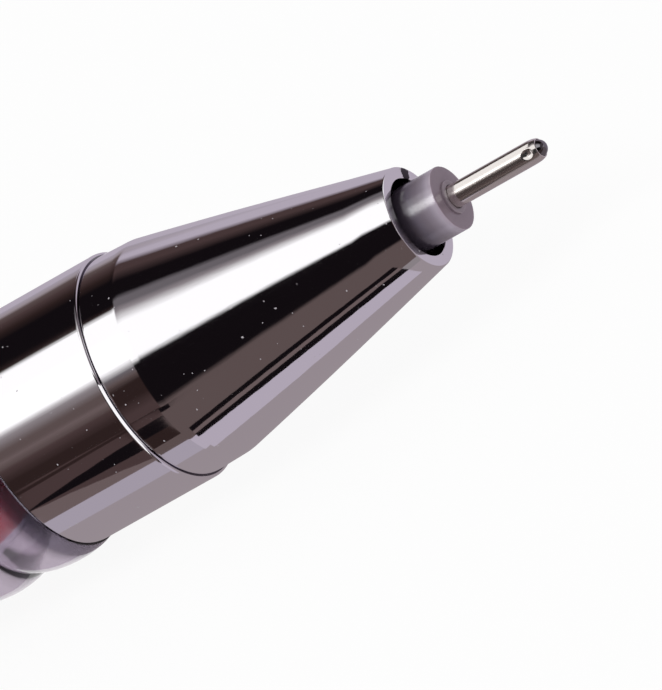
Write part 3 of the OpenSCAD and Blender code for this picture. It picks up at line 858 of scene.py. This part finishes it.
# %% Threaded bush
BUSH_REAR, BUSH_FRONT, BUSH_RADIUS = span("thread_bush")
THREAD_TURNS = 3
THREAD_PITCH = 0.8
THREAD_WIDTH = 0.4
THREAD_DEPTH = 0.15


def bush_corners():
    corners = [(BUSH_REAR, NECK_BORE), (BUSH_REAR, BUSH_RADIUS, 0.08)]
    for thread_turn in range(THREAD_TURNS):
        start = SEAM + THREAD_PITCH * (thread_turn + 0.5)
        corners += [
            (start, BUSH_RADIUS, 0.03),
            (start + THREAD_WIDTH / 2, BUSH_RADIUS - THREAD_DEPTH, 0.03),
            (start + THREAD_WIDTH, BUSH_RADIUS, 0.03),
        ]
    return corners + [(BUSH_FRONT, BUSH_RADIUS, 0.08), (BUSH_FRONT, NECK_BORE)]


dress(turned("screw_bush", bush_corners(), rounds=2), "barrel", "brass", "thread_bush")

# %% [markdown]
# ## The refill
# The tube, its ink and the grease that follows the ink are three turned shapes. Ink wets
# the tube, so it reaches a hair into the wall: a gap of air would make it look thinner.
# The grease ends in a hollow curve, as liquids in a narrow tube do.

# %% Refill tube, ink and follower
TUBE_END, TUBE_FRONT, TUBE_RADIUS = span("refill_tube")
TUBE_BORE = 2.40
INK_END, INK_FRONT, INK_RADIUS = span("ink_column")
WET_RADIUS = 2.41
GREASE_END, GREASE_FRONT, _ = span("ink_follower")
INNER_RING = 1.6  # a ring of corners that divides the ink's rear face

dress(
    turned(
        "ink_tube",
        [
            (TUBE_END, TUBE_BORE), (TUBE_END, TUBE_RADIUS, 0.08),
            (TUBE_FRONT, TUBE_RADIUS, 0.08), (TUBE_FRONT, TUBE_BORE),
        ],
    ),
    "refill", "refill_tube", "refill_tube",
)
dress(
    turned(
        "ink_body",
        [
            (INK_FRONT, 0), (INK_FRONT, WET_RADIUS),
            (INK_END, WET_RADIUS), (INK_END, INNER_RING), (INK_END, 0),
        ],
        sides=INK_SIDES,
    ),
    "refill", "ink", "ink_column",
)
dress(
    turned(
        "grease_plug",
        [
            (GREASE_FRONT, 0), (GREASE_FRONT, INK_RADIUS),
            (GREASE_END, INK_RADIUS), (GREASE_END + 0.5, 1.5, 0.8), (GREASE_END + 0.65, 0),
        ],
        sides=INK_SIDES,
    ),
    "refill", "grease", "ink_follower",
)

# %% [markdown]
# ## The tip holder
# The grey moulding that carries the needle: a slim front that stands out of the mouth,
# a collar that the spring pushes on, and a stem in the tube. A low ring stands round
# the needle's foot.

# %% Tip holder
STEM_END, RING_FRONT, _ = span("tip_holder")
RING_HEIGHT = 0.1
RING_RADIUS = 0.70
HOLDER_FACE = RING_FRONT - RING_HEIGHT
HOLDER_RADIUS = 1.325
INK_CHANNEL = 0.315
COLLAR_FRONT = 5.20
ROOT_RADIUS = 1.475
ROOT_END = 6.40
NEEDLE_HOLE = 0.495
HOLE_END = 12.33

dress(
    turned(
        "needle_holder",
        [
            (STEM_END, INK_CHANNEL),
            (STEM_END, INK_RADIUS, 0.15),
            (TUBE_FRONT, INK_RADIUS),
            (TUBE_FRONT, TUBE_RADIUS, 0.06),
            (COLLAR_FRONT, TUBE_RADIUS, 0.1),
            (COLLAR_FRONT, ROOT_RADIUS),
            (ROOT_END, HOLDER_RADIUS),
            (HOLDER_FACE, HOLDER_RADIUS, 0.05),
            (HOLDER_FACE, RING_RADIUS),
            (RING_FRONT, RING_RADIUS, 0.03),
            (RING_FRONT, NEEDLE_HOLE, 0.02),
            (HOLE_END, NEEDLE_HOLE),
            (HOLE_END, INK_CHANNEL),
        ],
    ),
    "refill", "grey_plastic", "tip_holder", finish="holder_painted_light_and_shade",
)

# %% [markdown]
# ## The needle and its ball
# The steel tube closes in to a thin lip round the ball. Three dents behind the ball hold
# it from the back. They are pressed in: the tube gets a fine mesh there, and each point
# that lies inside a round punch is pushed to the punch's surface.

# %% Needle with its dents
NEEDLE_FOOT, LIP, NEEDLE_RADIUS = span("needle_tube")
BALL_REAR, BALL_FRONT, _ = span("writing_ball")
BALL_RADIUS = (BALL_FRONT - BALL_REAR) / 2
BALL_MIDDLE = (BALL_FRONT + BALL_REAR) / 2
NEEDLE_BORE = 0.25
FINE_FROM = LIP - 1.1
FINE_CUTS = 12
DENTS = 3
FIRST_DENT = 232  # degrees from straight down, turning towards +Y
DENT_BEHIND_BALL = 0.30
DENT_DEPTH = 0.11
PUNCH_RADIUS = 0.40
OUTER_WALL = 0.3  # only the points outside this radius are pressed


def press_dents(bm):
    for dent in range(DENTS):
        angle = math.radians(FIRST_DENT + 360 / DENTS * dent)
        out = Vector((0, math.sin(angle), -math.cos(angle)))
        middle = out * (NEEDLE_RADIUS + PUNCH_RADIUS - DENT_DEPTH)
        middle.x = BALL_MIDDLE - DENT_BEHIND_BALL
        for vert in bm.verts:
            gap = vert.co - middle
            if gap.length < PUNCH_RADIUS and vert.co.yz.length > OUTER_WALL:
                vert.co = middle + gap.normalized() * PUNCH_RADIUS


def make_needle():
    bm = wire_outline(
        [
            (NEEDLE_FOOT, NEEDLE_BORE),
            (NEEDLE_FOOT, NEEDLE_RADIUS),
            (LIP - 1.0, NEEDLE_RADIUS),
            (LIP - 0.38, NEEDLE_RADIUS - 0.003, 0.2),
            (LIP - 0.18, 0.452, 0.08),
            (LIP, 0.396, 0.03),
            (LIP, BALL_RADIUS + 0.001),
            (BALL_MIDDLE, BALL_RADIUS + 0.015),
            (BALL_MIDDLE - 0.25, NEEDLE_BORE),
        ],
    )
    near_ball = [
        edge for edge in bm.edges
        if min(vert.co.x for vert in edge.verts) > FINE_FROM and edge.calc_length() > 0.1
    ]
    bmesh.ops.subdivide_edges(bm, edges=near_ball, cuts=FINE_CUTS)
    spin_round(bm, FINE_SIDES)
    press_dents(bm)
    return to_piece(bm, "needle")


dress(make_needle(), "refill", "needle_steel", "needle_tube")

# %% [markdown]
# The ball is a true sphere, turned so that its poles lie on the pen's axis. The
# material's fine relief keeps it from being a perfect mirror.

# %% Writing ball
def make_ball():
    bm = bmesh.new()
    bmesh.ops.create_uvsphere(bm, u_segments=64, v_segments=40, radius=BALL_RADIUS)
    bmesh.ops.rotate(
        bm, verts=bm.verts[:], cent=(0, 0, 0), matrix=Matrix.Rotation(math.pi / 2, 3, "Y")
    )
    bmesh.ops.translate(bm, vec=(BALL_MIDDLE, 0, 0), verts=bm.verts[:])
    return to_piece(bm, "point_ball")


dress(make_ball(), "ball", "ball_metal", "writing_ball")

# %% [markdown]
# ## The return spring
# A circle of wire is spun nine times round while it moves along the axis. Its plane is
# tilted a little so that it stays square to the wire. The collar at its rear slides with
# the refill and the step in the nose stays, but this spring is fixed in place: it rides
# on no body.

# %% Return spring
WIRE_RADIUS = 0.16
WIRE_SIDES = 12
SPRING_RADIUS = 1.911
SPRING_FROM = 5.38
SPRING_TO = 12.72
SPRING_TURNS = 9
STEPS_A_TURN = 36


def make_spring():
    bm = bmesh.new()
    ring = bmesh.ops.create_circle(
        bm, cap_ends=True, segments=WIRE_SIDES, radius=WIRE_RADIUS
    )
    run = (SPRING_TO - SPRING_FROM) / SPRING_TURNS
    tilt = math.atan2(run, math.tau * SPRING_RADIUS)
    bmesh.ops.rotate(
        bm,
        verts=ring["verts"],
        cent=(0, 0, 0),
        matrix=Matrix.Rotation(math.pi / 2, 3, "X") @ Matrix.Rotation(-tilt, 3, "Z"),
    )
    bmesh.ops.translate(bm, vec=(SPRING_FROM, 0, SPRING_RADIUS), verts=bm.verts[:])
    bmesh.ops.spin(
        bm,
        geom=bm.verts[:] + bm.edges[:] + bm.faces[:],
        cent=(0, 0, 0),
        axis=(1, 0, 0),
        dvec=(run / STEPS_A_TURN, 0, 0),
        angle=math.tau * SPRING_TURNS,
        steps=SPRING_TURNS * STEPS_A_TURN,
        use_merge=False,
    )
    return to_piece(bm, "coil_spring")


spring = make_spring()
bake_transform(spring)
stand_for(spring, "spring_steel", "return_spring")

# %% [markdown]
# ## The push button
# A chrome cap over the plunger's stem. Its end is slightly crowned, with a generous
# round where the thumb pushes.

# %% Push button
BUTTON_END, BUTTON_FRONT, BUTTON_RADIUS = span("button_cap")
CROWN = 0.12
STEM_BORE = 2.02
STEM_BORE_END = -122.22

dress(
    turned(
        "push_button",
        [
            (BUTTON_END, 0),
            (BUTTON_END + CROWN, BUTTON_RADIUS, 0.85),
            (BUTTON_FRONT, BUTTON_RADIUS, 0.1),
            (BUTTON_FRONT, STEM_BORE),
            (STEM_BORE_END, STEM_BORE),
            (STEM_BORE_END, 0),
        ],
        rounds=8,
    ),
    "knock", "chrome", "button_cap", finish="worn_chrome",
)

# %% [markdown]
# ## Pieces that keep their CAD shape
# The cap with its lug, the clip and the pieces of the click mechanism have the right
# shape already, but knife-sharp edges. A copy of the mesh is merged, its flat faces are
# joined, and a small bevel softens each edge, as on the real pieces. A bevel is no wider
# than half the shortest edge, so slivers are dissolved first.

# %% Softened copies
FLAT_ANGLE = math.radians(0.5)
SLIVER = 0.02


def softened(name, node, width):
    bm = bmesh.new()
    bm.from_mesh(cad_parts[node].data)
    bmesh.ops.scale(bm, vec=(1 / MM, 1 / MM, 1 / MM), verts=bm.verts[:])
    bmesh.ops.remove_doubles(bm, verts=bm.verts[:], dist=SAME_PLACE)
    bmesh.ops.dissolve_limit(
        bm, angle_limit=FLAT_ANGLE, verts=bm.verts[:], edges=bm.edges[:]
    )
    bmesh.ops.dissolve_degenerate(bm, dist=SLIVER, edges=bm.edges[:])
    bmesh.ops.bevel(
        bm,
        geom=[edge for edge in bm.edges if edge.calc_face_angle(0.0) > SHARP_ANGLE],
        offset=width,
        offset_type="OFFSET",
        segments=2,
        profile=0.5,
        affect="EDGES",
        clamp_overlap=True,
        material=-1,
    )
    bmesh.ops.remove_doubles(bm, verts=bm.verts[:], dist=SAME_PLACE)
    return to_piece(bm, name)


# piece, CAD node, width of the bevel in millimetres, body, slot, finish
SOFTENED_PIECES = [
    ("end_cap", "rear_cap", 0.1, "barrel", "chrome", "worn_chrome"),
    ("sprung_clip", "clip", 0.036, "clip", "chrome", "worn_chrome"),
    ("vent_plug", "tail_plug", 0.06, "refill", "grey_plastic", None),
    ("ribbed_sleeve", "cam_sleeve", 0.05, "barrel", "white_plastic", None),
    ("click_rotor", "cam_rotor", 0.01, "rotor", "white_plastic", None),
    ("pusher", "plunger", 0.024, "knock", "dark_plastic", None),
    ("button_guide", "guide_bush", 0.08, "barrel", "dark_plastic", None),
]
for name, node, width, body, slot, finish in SOFTENED_PIECES:
    dress(softened(name, node, width), body, slot, node, finish=finish)

# %% [markdown]
# ## The table
# A plain white floor. Part of its light is its own, for the camera and for what the
# metal and the clear plastic show of it, so it looks white and still keeps a soft
# shadow under the pen.

# %% Flat pieces of the stage
def stage_plane(name, corners):
    """A flat stage piece from its corners, in millimetres."""
    bm = bmesh.new()
    bm.faces.new([bm.verts.new([place * MM for place in corner]) for corner in corners])
    plane = to_object(bm, name)
    return plane


def at_level(level, *corners):
    return [(x, y, level) for x, y in corners]


def rectangle(low, high, level):
    return at_level(level, low, (high[0], low[1]), high, (low[0], high[1]))


def show(tree, share, first, second):
    """Shows the first shader where the share is 0, the second where it is 1."""
    mix = add_node(tree, "ShaderNodeMixShader")
    for socket, source in zip(mix.inputs, (share, first.outputs[0], second.outputs[0])):
        tree.links.new(source, socket)
    tree.links.new(mix.outputs[0], tree.nodes["Material Output"].inputs["Surface"])


def seen_or_mirrored(tree):
    """1 for rays from the camera, and for those that metal or glass sends on."""
    path = add_node(tree, "ShaderNodeLightPath").outputs
    first = compute(tree, "MAXIMUM", path["Is Camera Ray"], path["Is Glossy Ray"])
    return compute(tree, "MAXIMUM", first, path["Is Transmission Ray"])


# %% Floor
FLOOR_LEVEL = -5.27
FLOOR_WHITE = (0.9, 0.9, 0.9, 1)
FLOOR_ROUGHNESS = 0.9
OWN_LIGHT = 0.93
HALF_FLOOR = 3000


def make_floor_finish():
    material, tree, shader = start_finish("white_floor", FLOOR_WHITE, FLOOR_ROUGHNESS)
    shader.inputs["Specular IOR Level"].default_value = 0.0
    share = compute(tree, "MULTIPLY", seen_or_mirrored(tree), OWN_LIGHT)
    show(tree, share, shader, add_node(tree, "ShaderNodeEmission"))
    return material


floor = stage_plane(
    "floor", rectangle((-HALF_FLOOR, -HALF_FLOOR), (HALF_FLOOR, HALF_FLOOR), FLOOR_LEVEL)
)
floor.data.materials.append(make_floor_finish())
print("floor at", FLOOR_LEVEL, "mm")

# %% [markdown]
# ## Light
# The world is white to the camera and a little dimmer as light, and one soft lamp from
# the upper left of the camera models the shapes. Together a colour comes out about as
# it is written.

# %% World and lamp
WORLD_LIGHT = 0.6
LAMP_WAY = Vector((-0.42, -0.42, 0.80)).normalized()
LAMP_DISTANCE = 0.8
LAMP_SIZE = 0.35
LAMP_WATTS = 2.4

world = bpy.data.worlds.new("studio")
world.use_nodes = True
scene.world = world
sky = world.node_tree
background = sky.nodes["Background"]
background.inputs["Color"].default_value = (1, 1, 1, 1)
sky.links.new(
    spread(sky, seen_or_mirrored(sky), WORLD_LIGHT, 1.0), background.inputs["Strength"]
)

lamp_data = bpy.data.lights.new("soft_lamp", "AREA")
lamp_data.shape = "DISK"
lamp_data.size = LAMP_SIZE
lamp_data.energy = LAMP_WATTS
lamp = bpy.data.objects.new("soft_lamp", lamp_data)
scene.collection.objects.link(lamp)
lamp.location = LAMP_WAY * LAMP_DISTANCE
lamp.rotation_euler = LAMP_WAY.to_track_quat("Z", "Y").to_euler()
scene.view_settings.view_transform = "Standard"
print("lamp", LAMP_WATTS, "W")

# %% [markdown]
# ## What the chrome sees
# Chrome shows its room, so the room is built as a photographer would: a half-round tent
# over the pen with white, grey and black stretches, and cards on the table beside it.
# They are seen only in reflections. The tent's shade depends on the angle round the
# pen's axis, counted from the near horizon over the top to the far one. The cone looks
# at the front of the tent, the nose's band behind it at the middle and the ferrule at
# the rear, so each stretch has its own bands.

# %% Shades of the tent
WHITE = (1.05, 1.05, 1.05, 1.0)
BLACK = seen(17, 13, 16)
UMBER = seen(44, 32, 31)
SEPIA = seen(71, 56, 56)
DRAB = seen(92, 79, 78)
TAUPE = seen(106, 92, 92)
STEEL = seen(103, 98, 102)
GREY = seen(138, 131, 134)
LILAC = seen(178, 169, 182)
DIM_LILAC = seen(164, 156, 168)
WARM_GREY = seen(151, 141, 146)

# each stop is an angle in degrees and the shade there
FRONT_BANDS = [
    (0, DRAB), (4, DRAB), (9, BLACK), (48, BLACK), (53, WHITE), (88, WHITE),
    (100, GREY), (105, STEEL), (111, STEEL), (116, BLACK), (131, BLACK), (144, SEPIA),
    (152, SEPIA), (160, LILAC), (180, LILAC),
]
FAR_BANDS = [
    (108, BLACK), (134, BLACK), (144, UMBER), (155, SEPIA), (165, DRAB), (171, WARM_GREY),
    (180, DIM_LILAC),
]
MIDDLE_BANDS = [
    (0, SEPIA), (7, SEPIA), (20, UMBER), (33, UMBER), (39, DRAB), (44, STEEL),
    (54, WHITE), (99.5, WHITE), (104, UMBER), *FAR_BANDS,
]
REAR_BANDS = [
    (0, UMBER), (8, UMBER), (19, SEPIA), (23, DRAB), (27, TAUPE), (31, DRAB), (36, DRAB),
    (46, GREY), (54, WHITE), (98, WHITE), (102, UMBER), *FAR_BANDS,
]
print("bands", len(FRONT_BANDS), len(MIDDLE_BANDS), len(REAR_BANDS))

# %% [markdown]
# The tent's material turns a place into an angle and the angle into a shade. It only
# glows, and it lights nothing: the lamp and the world do that.

# %% The tent's finish
HALF_TURN = 180
# where the rear bands give way to the middle ones, and those to the front ones, in metres
MIDDLE_SPLIT = (-0.150, -0.148)
FRONT_SPLIT = (-0.105, -0.090)
# the front cards hang slightly askew: places along the pen, and how far they drop there
SLANT_PLACES = (-0.025, 0.020)
SLANT_DROPS = (3 / HALF_TURN, -6 / HALF_TURN)


def glow_finish(name):
    material = bpy.data.materials.new(name)
    material.use_nodes = True
    tree = material.node_tree
    tree.nodes.remove(shader_of(material))
    glow = add_node(tree, "ShaderNodeEmission")
    tree.links.new(glow.outputs[0], tree.nodes["Material Output"].inputs["Surface"])
    material.cycles.emission_sampling = "NONE"
    return material, tree, glow


def band_ramp(tree, half_turns, bands):
    stops = [(degrees / HALF_TURN, shade) for degrees, shade in bands]
    return colour_ramp(tree, half_turns, stops)


def make_tent_finish():
    material, tree, glow = glow_finish("tent_cards")
    along_pen, across_pen, up = split_place(tree)
    near = compute(tree, "MULTIPLY", across_pen, -1.0)
    height = compute(tree, "ADD", up, -FLOOR_LEVEL * MM)
    level = compute(tree, "DIVIDE", compute(tree, "ARCTAN2", height, near), math.pi)
    slanted = compute(
        tree, "ADD", spread(tree, along_pen, *SLANT_DROPS, *SLANT_PLACES), level
    )
    shade = band_ramp(tree, level, REAR_BANDS)
    for bands, half_turns, split in (
        (MIDDLE_BANDS, level, MIDDLE_SPLIT),
        (FRONT_BANDS, slanted, FRONT_SPLIT),
    ):
        ahead = spread(tree, along_pen, 0.0, 1.0, *split)
        shade = mix_colours(tree, ahead, shade, band_ramp(tree, half_turns, bands))
    tree.links.new(shade, glow.inputs["Color"])
    return material


# %% The tent
TENT_RADIUS = 0.3
TENT_ENDS = (-0.6, 0.4)
TENT_STEPS = 90


def only_in_reflections(card):
    card.visible_camera = False
    card.visible_diffuse = False
    card.visible_transmission = False
    card.visible_volume_scatter = False
    card.visible_shadow = False


def make_tent():
    bm = bmesh.new()
    near_edge = [bm.verts.new((x, -TENT_RADIUS, FLOOR_LEVEL * MM)) for x in TENT_ENDS]
    bm.edges.new(near_edge)
    skirt = math.atan2(-FLOOR_LEVEL * MM, TENT_RADIUS)
    bmesh.ops.spin(
        bm,
        geom=bm.verts[:] + bm.edges[:],
        cent=(0, 0, 0),
        axis=(-1, 0, 0),
        dvec=(0, 0, 0),
        angle=math.pi + 2 * skirt,
        steps=TENT_STEPS,
        use_merge=False,
    )
    tent = to_object(bm, "tent")
    tent.data.materials.append(make_tent_finish())
    only_in_reflections(tent)
    print("tent", len(tent.data.polygons), "faces")


make_tent()

# %% [markdown]
# Every other card is a flat plane with one plain shade. The first is a grey wall that
# closes the tent's open front.

# %% A grey wall at the tent's open front
WALL_GREY = seen(112, 104, 110)
WALL_PLACE = 398


def hang_card(name, shade, corners):
    card = stage_plane(name, corners)
    material, tree, glow = glow_finish(name)
    glow.inputs["Color"].default_value = shade
    card.data.materials.append(material)
    only_in_reflections(card)
    return card


wall_corners = [(-300, 0), (300, 0), (300, 310), (-300, 310)]
hang_card("front_wall", WALL_GREY, [(WALL_PLACE, y, z) for y, z in wall_corners])
print("wall at", WALL_PLACE, "mm")

# %% [markdown]
# ### Cards on the table
# A card on the table shows as a band on the underside of the chrome. To know where to
# lay it, the camera's line of sight is mirrored in the chrome at both ends of a piece
# and followed down to the table.

# %% Where the chrome shows the table
CARD_LEVEL = FLOOR_LEVEL + 0.010
CAMERA_HEIGHT_ANGLE = math.atan2(TO_CAMERA.z, -TO_CAMERA.y)
FLATTEST = -0.012  # a line of sight that falls less than this never meets the table
LAP = 0.25  # how far neighbouring cards reach over each other, in degrees


def mirrored_on_table(station, radius, lean, turn_degrees):
    """Where the chrome shows the table: at a station and radius, on a surface that leans
    by an angle towards the point, and half of turn_degrees round from the camera."""
    side = CAMERA_HEIGHT_ANGLE - math.radians(turn_degrees) / 2
    round_way = Vector((0, -math.cos(side), math.sin(side)))
    normal = round_way * math.cos(lean) + Vector((math.sin(lean), 0, 0))
    start = Vector((station, 0, 0)) + round_way * radius
    sight = (camera.matrix_world.translation / MM - start).normalized()
    way = 2 * normal.dot(sight) * normal - sight
    hit = start + way * ((CARD_LEVEL - start.z) / min(way.z, FLATTEST))
    return hit.x, hit.y


def lay_card(name, shade, ends, first_edge, last_edge, level):
    """ends are (station, radius, lean) of the chrome's rear and front, and an edge is the
    pair of turns at which the card starts or stops there."""
    rear, front = ends
    corners = at_level(
        level,
        mirrored_on_table(*rear, first_edge[0] - LAP),
        mirrored_on_table(*front, first_edge[1] - LAP),
        mirrored_on_table(*front, last_edge[1] + LAP),
        mirrored_on_table(*rear, last_edge[0] + LAP),
    )
    hang_card(name, shade, corners)


# %% Cards on the table
def lean_of(length, fall):
    return math.atan2(fall, length)


first_reach, first_swell = CONE_SWELL[0]
last_reach, last_swell = CONE_SWELL[-1]
last_length = MOUTH - SHOULDER - last_reach
CONE_REAR_LEAN = lean_of(first_reach, first_reach * CONE_FALL - first_swell)
CONE_FRONT_LEAN = lean_of(last_length, last_length * CONE_FALL + last_swell)
BAND_LEAN = lean_of(SHOULDER - SEAM, BASE_RADIUS - SHOULDER_RADIUS)

CHROME_ENDS = {
    "cone": (
        (SHOULDER, SHOULDER_RADIUS, CONE_REAR_LEAN), (MOUTH, MOUTH_RADIUS, CONE_FRONT_LEAN),
    ),
    "nose_band": ((SEAM, BASE_RADIUS, BAND_LEAN), (SHOULDER, SHOULDER_RADIUS, BAND_LEAN)),
    "shoulder": (
        (SHOULDER, SHOULDER_RADIUS, BAND_LEAN), (SHOULDER, SHOULDER_RADIUS, CONE_REAR_LEAN),
    ),
    "ferrule": ((-SEAM, FERRULE_RADIUS, 0.0), (SEAM, FERRULE_RADIUS, 0.0)),
}
FIRST_TURN = 38
# shade, then the turns at which it stops at the piece's rear and front end
TABLE_BANDS = {
    "cone": [
        (DRAB, 73, 62), (BLACK, 78, 69), (TAUPE, 83, 76), (BLACK, 88, 87), (LILAC, 113, 116),
        (WARM_GREY, 168, 168),
    ],
    "nose_band": [
        (SEPIA, 46, 46), (BLACK, 59, 59), (UMBER, 73, 73), (DRAB, 83, 83),
        (DIM_LILAC, 106, 106), (WARM_GREY, 170, 170),
    ],
    "shoulder": [(BLACK, 43, 43), (DRAB, 84, 84), (LILAC, 107, 107), (WARM_GREY, 168, 168)],
    "ferrule": [
        (SEPIA, 40.5, 38.5), (UMBER, 43, 41), (SEPIA, 62, 51), (BLACK, 62.5, 65),
        (SEPIA, 63.5, 79), (TAUPE, 82, 82), (DIM_LILAC, 104, 104), (WARM_GREY, 165, 165),
    ],
}
PART_STEP = 0.001  # each piece's cards lie this much higher than the last piece's
CARD_STEP = 0.0004  # every other card lies this much higher than its neighbours
for part_number, (part, bands) in enumerate(TABLE_BANDS.items()):
    edge = (FIRST_TURN, FIRST_TURN)
    for number, (shade, *next_edge) in enumerate(bands):
        height = CARD_LEVEL + PART_STEP * part_number + CARD_STEP * (number % 2)
        lay_card(f"{part}_card_{number}", shade, CHROME_ENDS[part], edge, next_edge, height)
        edge = next_edge
print("cards", sum(len(bands) for bands in TABLE_BANDS.values()))

# %% [markdown]
# Wide cards lie a little lower and shade most of the table that the cards above leave
# free, for the rest of the pen and for other views.

# %% Wide cards under the rest of the pen
WIDE_LEVEL = CARD_LEVEL - 0.004
# name, shade, nearest and farthest corner, in millimetres
WIDE_CARDS = [
    ("near_dark_card", UMBER, (-600, -299), (-4, -11)),
    ("near_drab_card", DRAB, (-4, -299), (400, -9.5)),
    ("near_pale_card", LILAC, (-600, -11), (-4, -3)),
    ("front_grey_card", GREY, (13.5, -9.5), (80, -6.5)),
    ("front_warm_card", WARM_GREY, (13.5, -6.5), (80, 2)),
    ("under_card", WARM_GREY, (-4, -9.5), (13.5, 12)),
    ("far_pale_card", LILAC, (-600, 20), (400, 299)),
    ("mouth_card", LILAC, (13.5, 2), (60, 20)),
]
for name, shade, low, high in WIDE_CARDS:
    hang_card(name, shade, rectangle(low, high, WIDE_LEVEL))
print("wide cards", len(WIDE_CARDS))

# %% [markdown]
# The needle shows a white and a dark band. Each comes from a small card that hangs
# close to it, out of the cone's sight.

# %% Two small cards over the needle
NEEDLE_CARD_DISTANCE = 3.0
NEEDLE_CARD_ENDS = (16.35, 20.6)


def round_needle(station, degrees):
    """A place at the cards' distance, with the angle counted as on the tent."""
    angle = math.radians(degrees)
    return Vector((
        station,
        -NEEDLE_CARD_DISTANCE * math.cos(angle),
        NEEDLE_CARD_DISTANCE * math.sin(angle),
    ))


def needle_card(name, shade, first_angle, last_angle):
    rear, front = NEEDLE_CARD_ENDS
    corners = [(rear, first_angle), (front, first_angle), (front, last_angle), (rear, last_angle)]
    hang_card(name, shade, [round_needle(*corner) for corner in corners])


needle_card("needle_white_card", WHITE, 96, 128)
needle_card("needle_dark_card", SEPIA, 38, 56)
print("needle cards", NEEDLE_CARD_DISTANCE, "mm off")

# %% [markdown]
# The clear grip and barrel show the table through their walls, where the real pen's
# shadow lies. A pale grey card there, seen only through clear plastic, gives that shade.

# %% The shade under the pen
SHADE_LEVEL = CARD_LEVEL + 0.02
shade_card = hang_card(
    "shade_under_grip", seen(206, 198, 206), rectangle((-112, -6), (-3.2, 4), SHADE_LEVEL)
)
shade_card.visible_glossy = False
shade_card.visible_transmission = True
print("shade at", round(SHADE_LEVEL, 2), "mm")

# %% [markdown]
# The seam's rounded edge looks forward along the pen, and shows as a bright line in the
# photograph. A small white card stands across the pen just ahead of the seam. Only its
# rear side glows: seen from the front it isn't there, so the cone doesn't show it.

# %% One-sided card at the seam
PLAIN_WHITE = (1.0, 1.0, 1.0, 1.0)
SEAM_CARD_PLACE = 3.9
seam_card_corners = [(-12, -5.2), (-4.9, -0.1), (-3.6, 3.0), (-12, 11.4)]
seam_card = hang_card(
    "seam_card", PLAIN_WHITE, [(SEAM_CARD_PLACE, y, z) for y, z in seam_card_corners]
)
seam_tree = seam_card.data.materials[0].node_tree
show(
    seam_tree,
    add_node(seam_tree, "ShaderNodeNewGeometry").outputs["Backfacing"],
    add_node(seam_tree, "ShaderNodeBsdfTransparent"),
    seam_tree.nodes["Emission"],
)
print("seam card at", SEAM_CARD_PLACE, "mm")
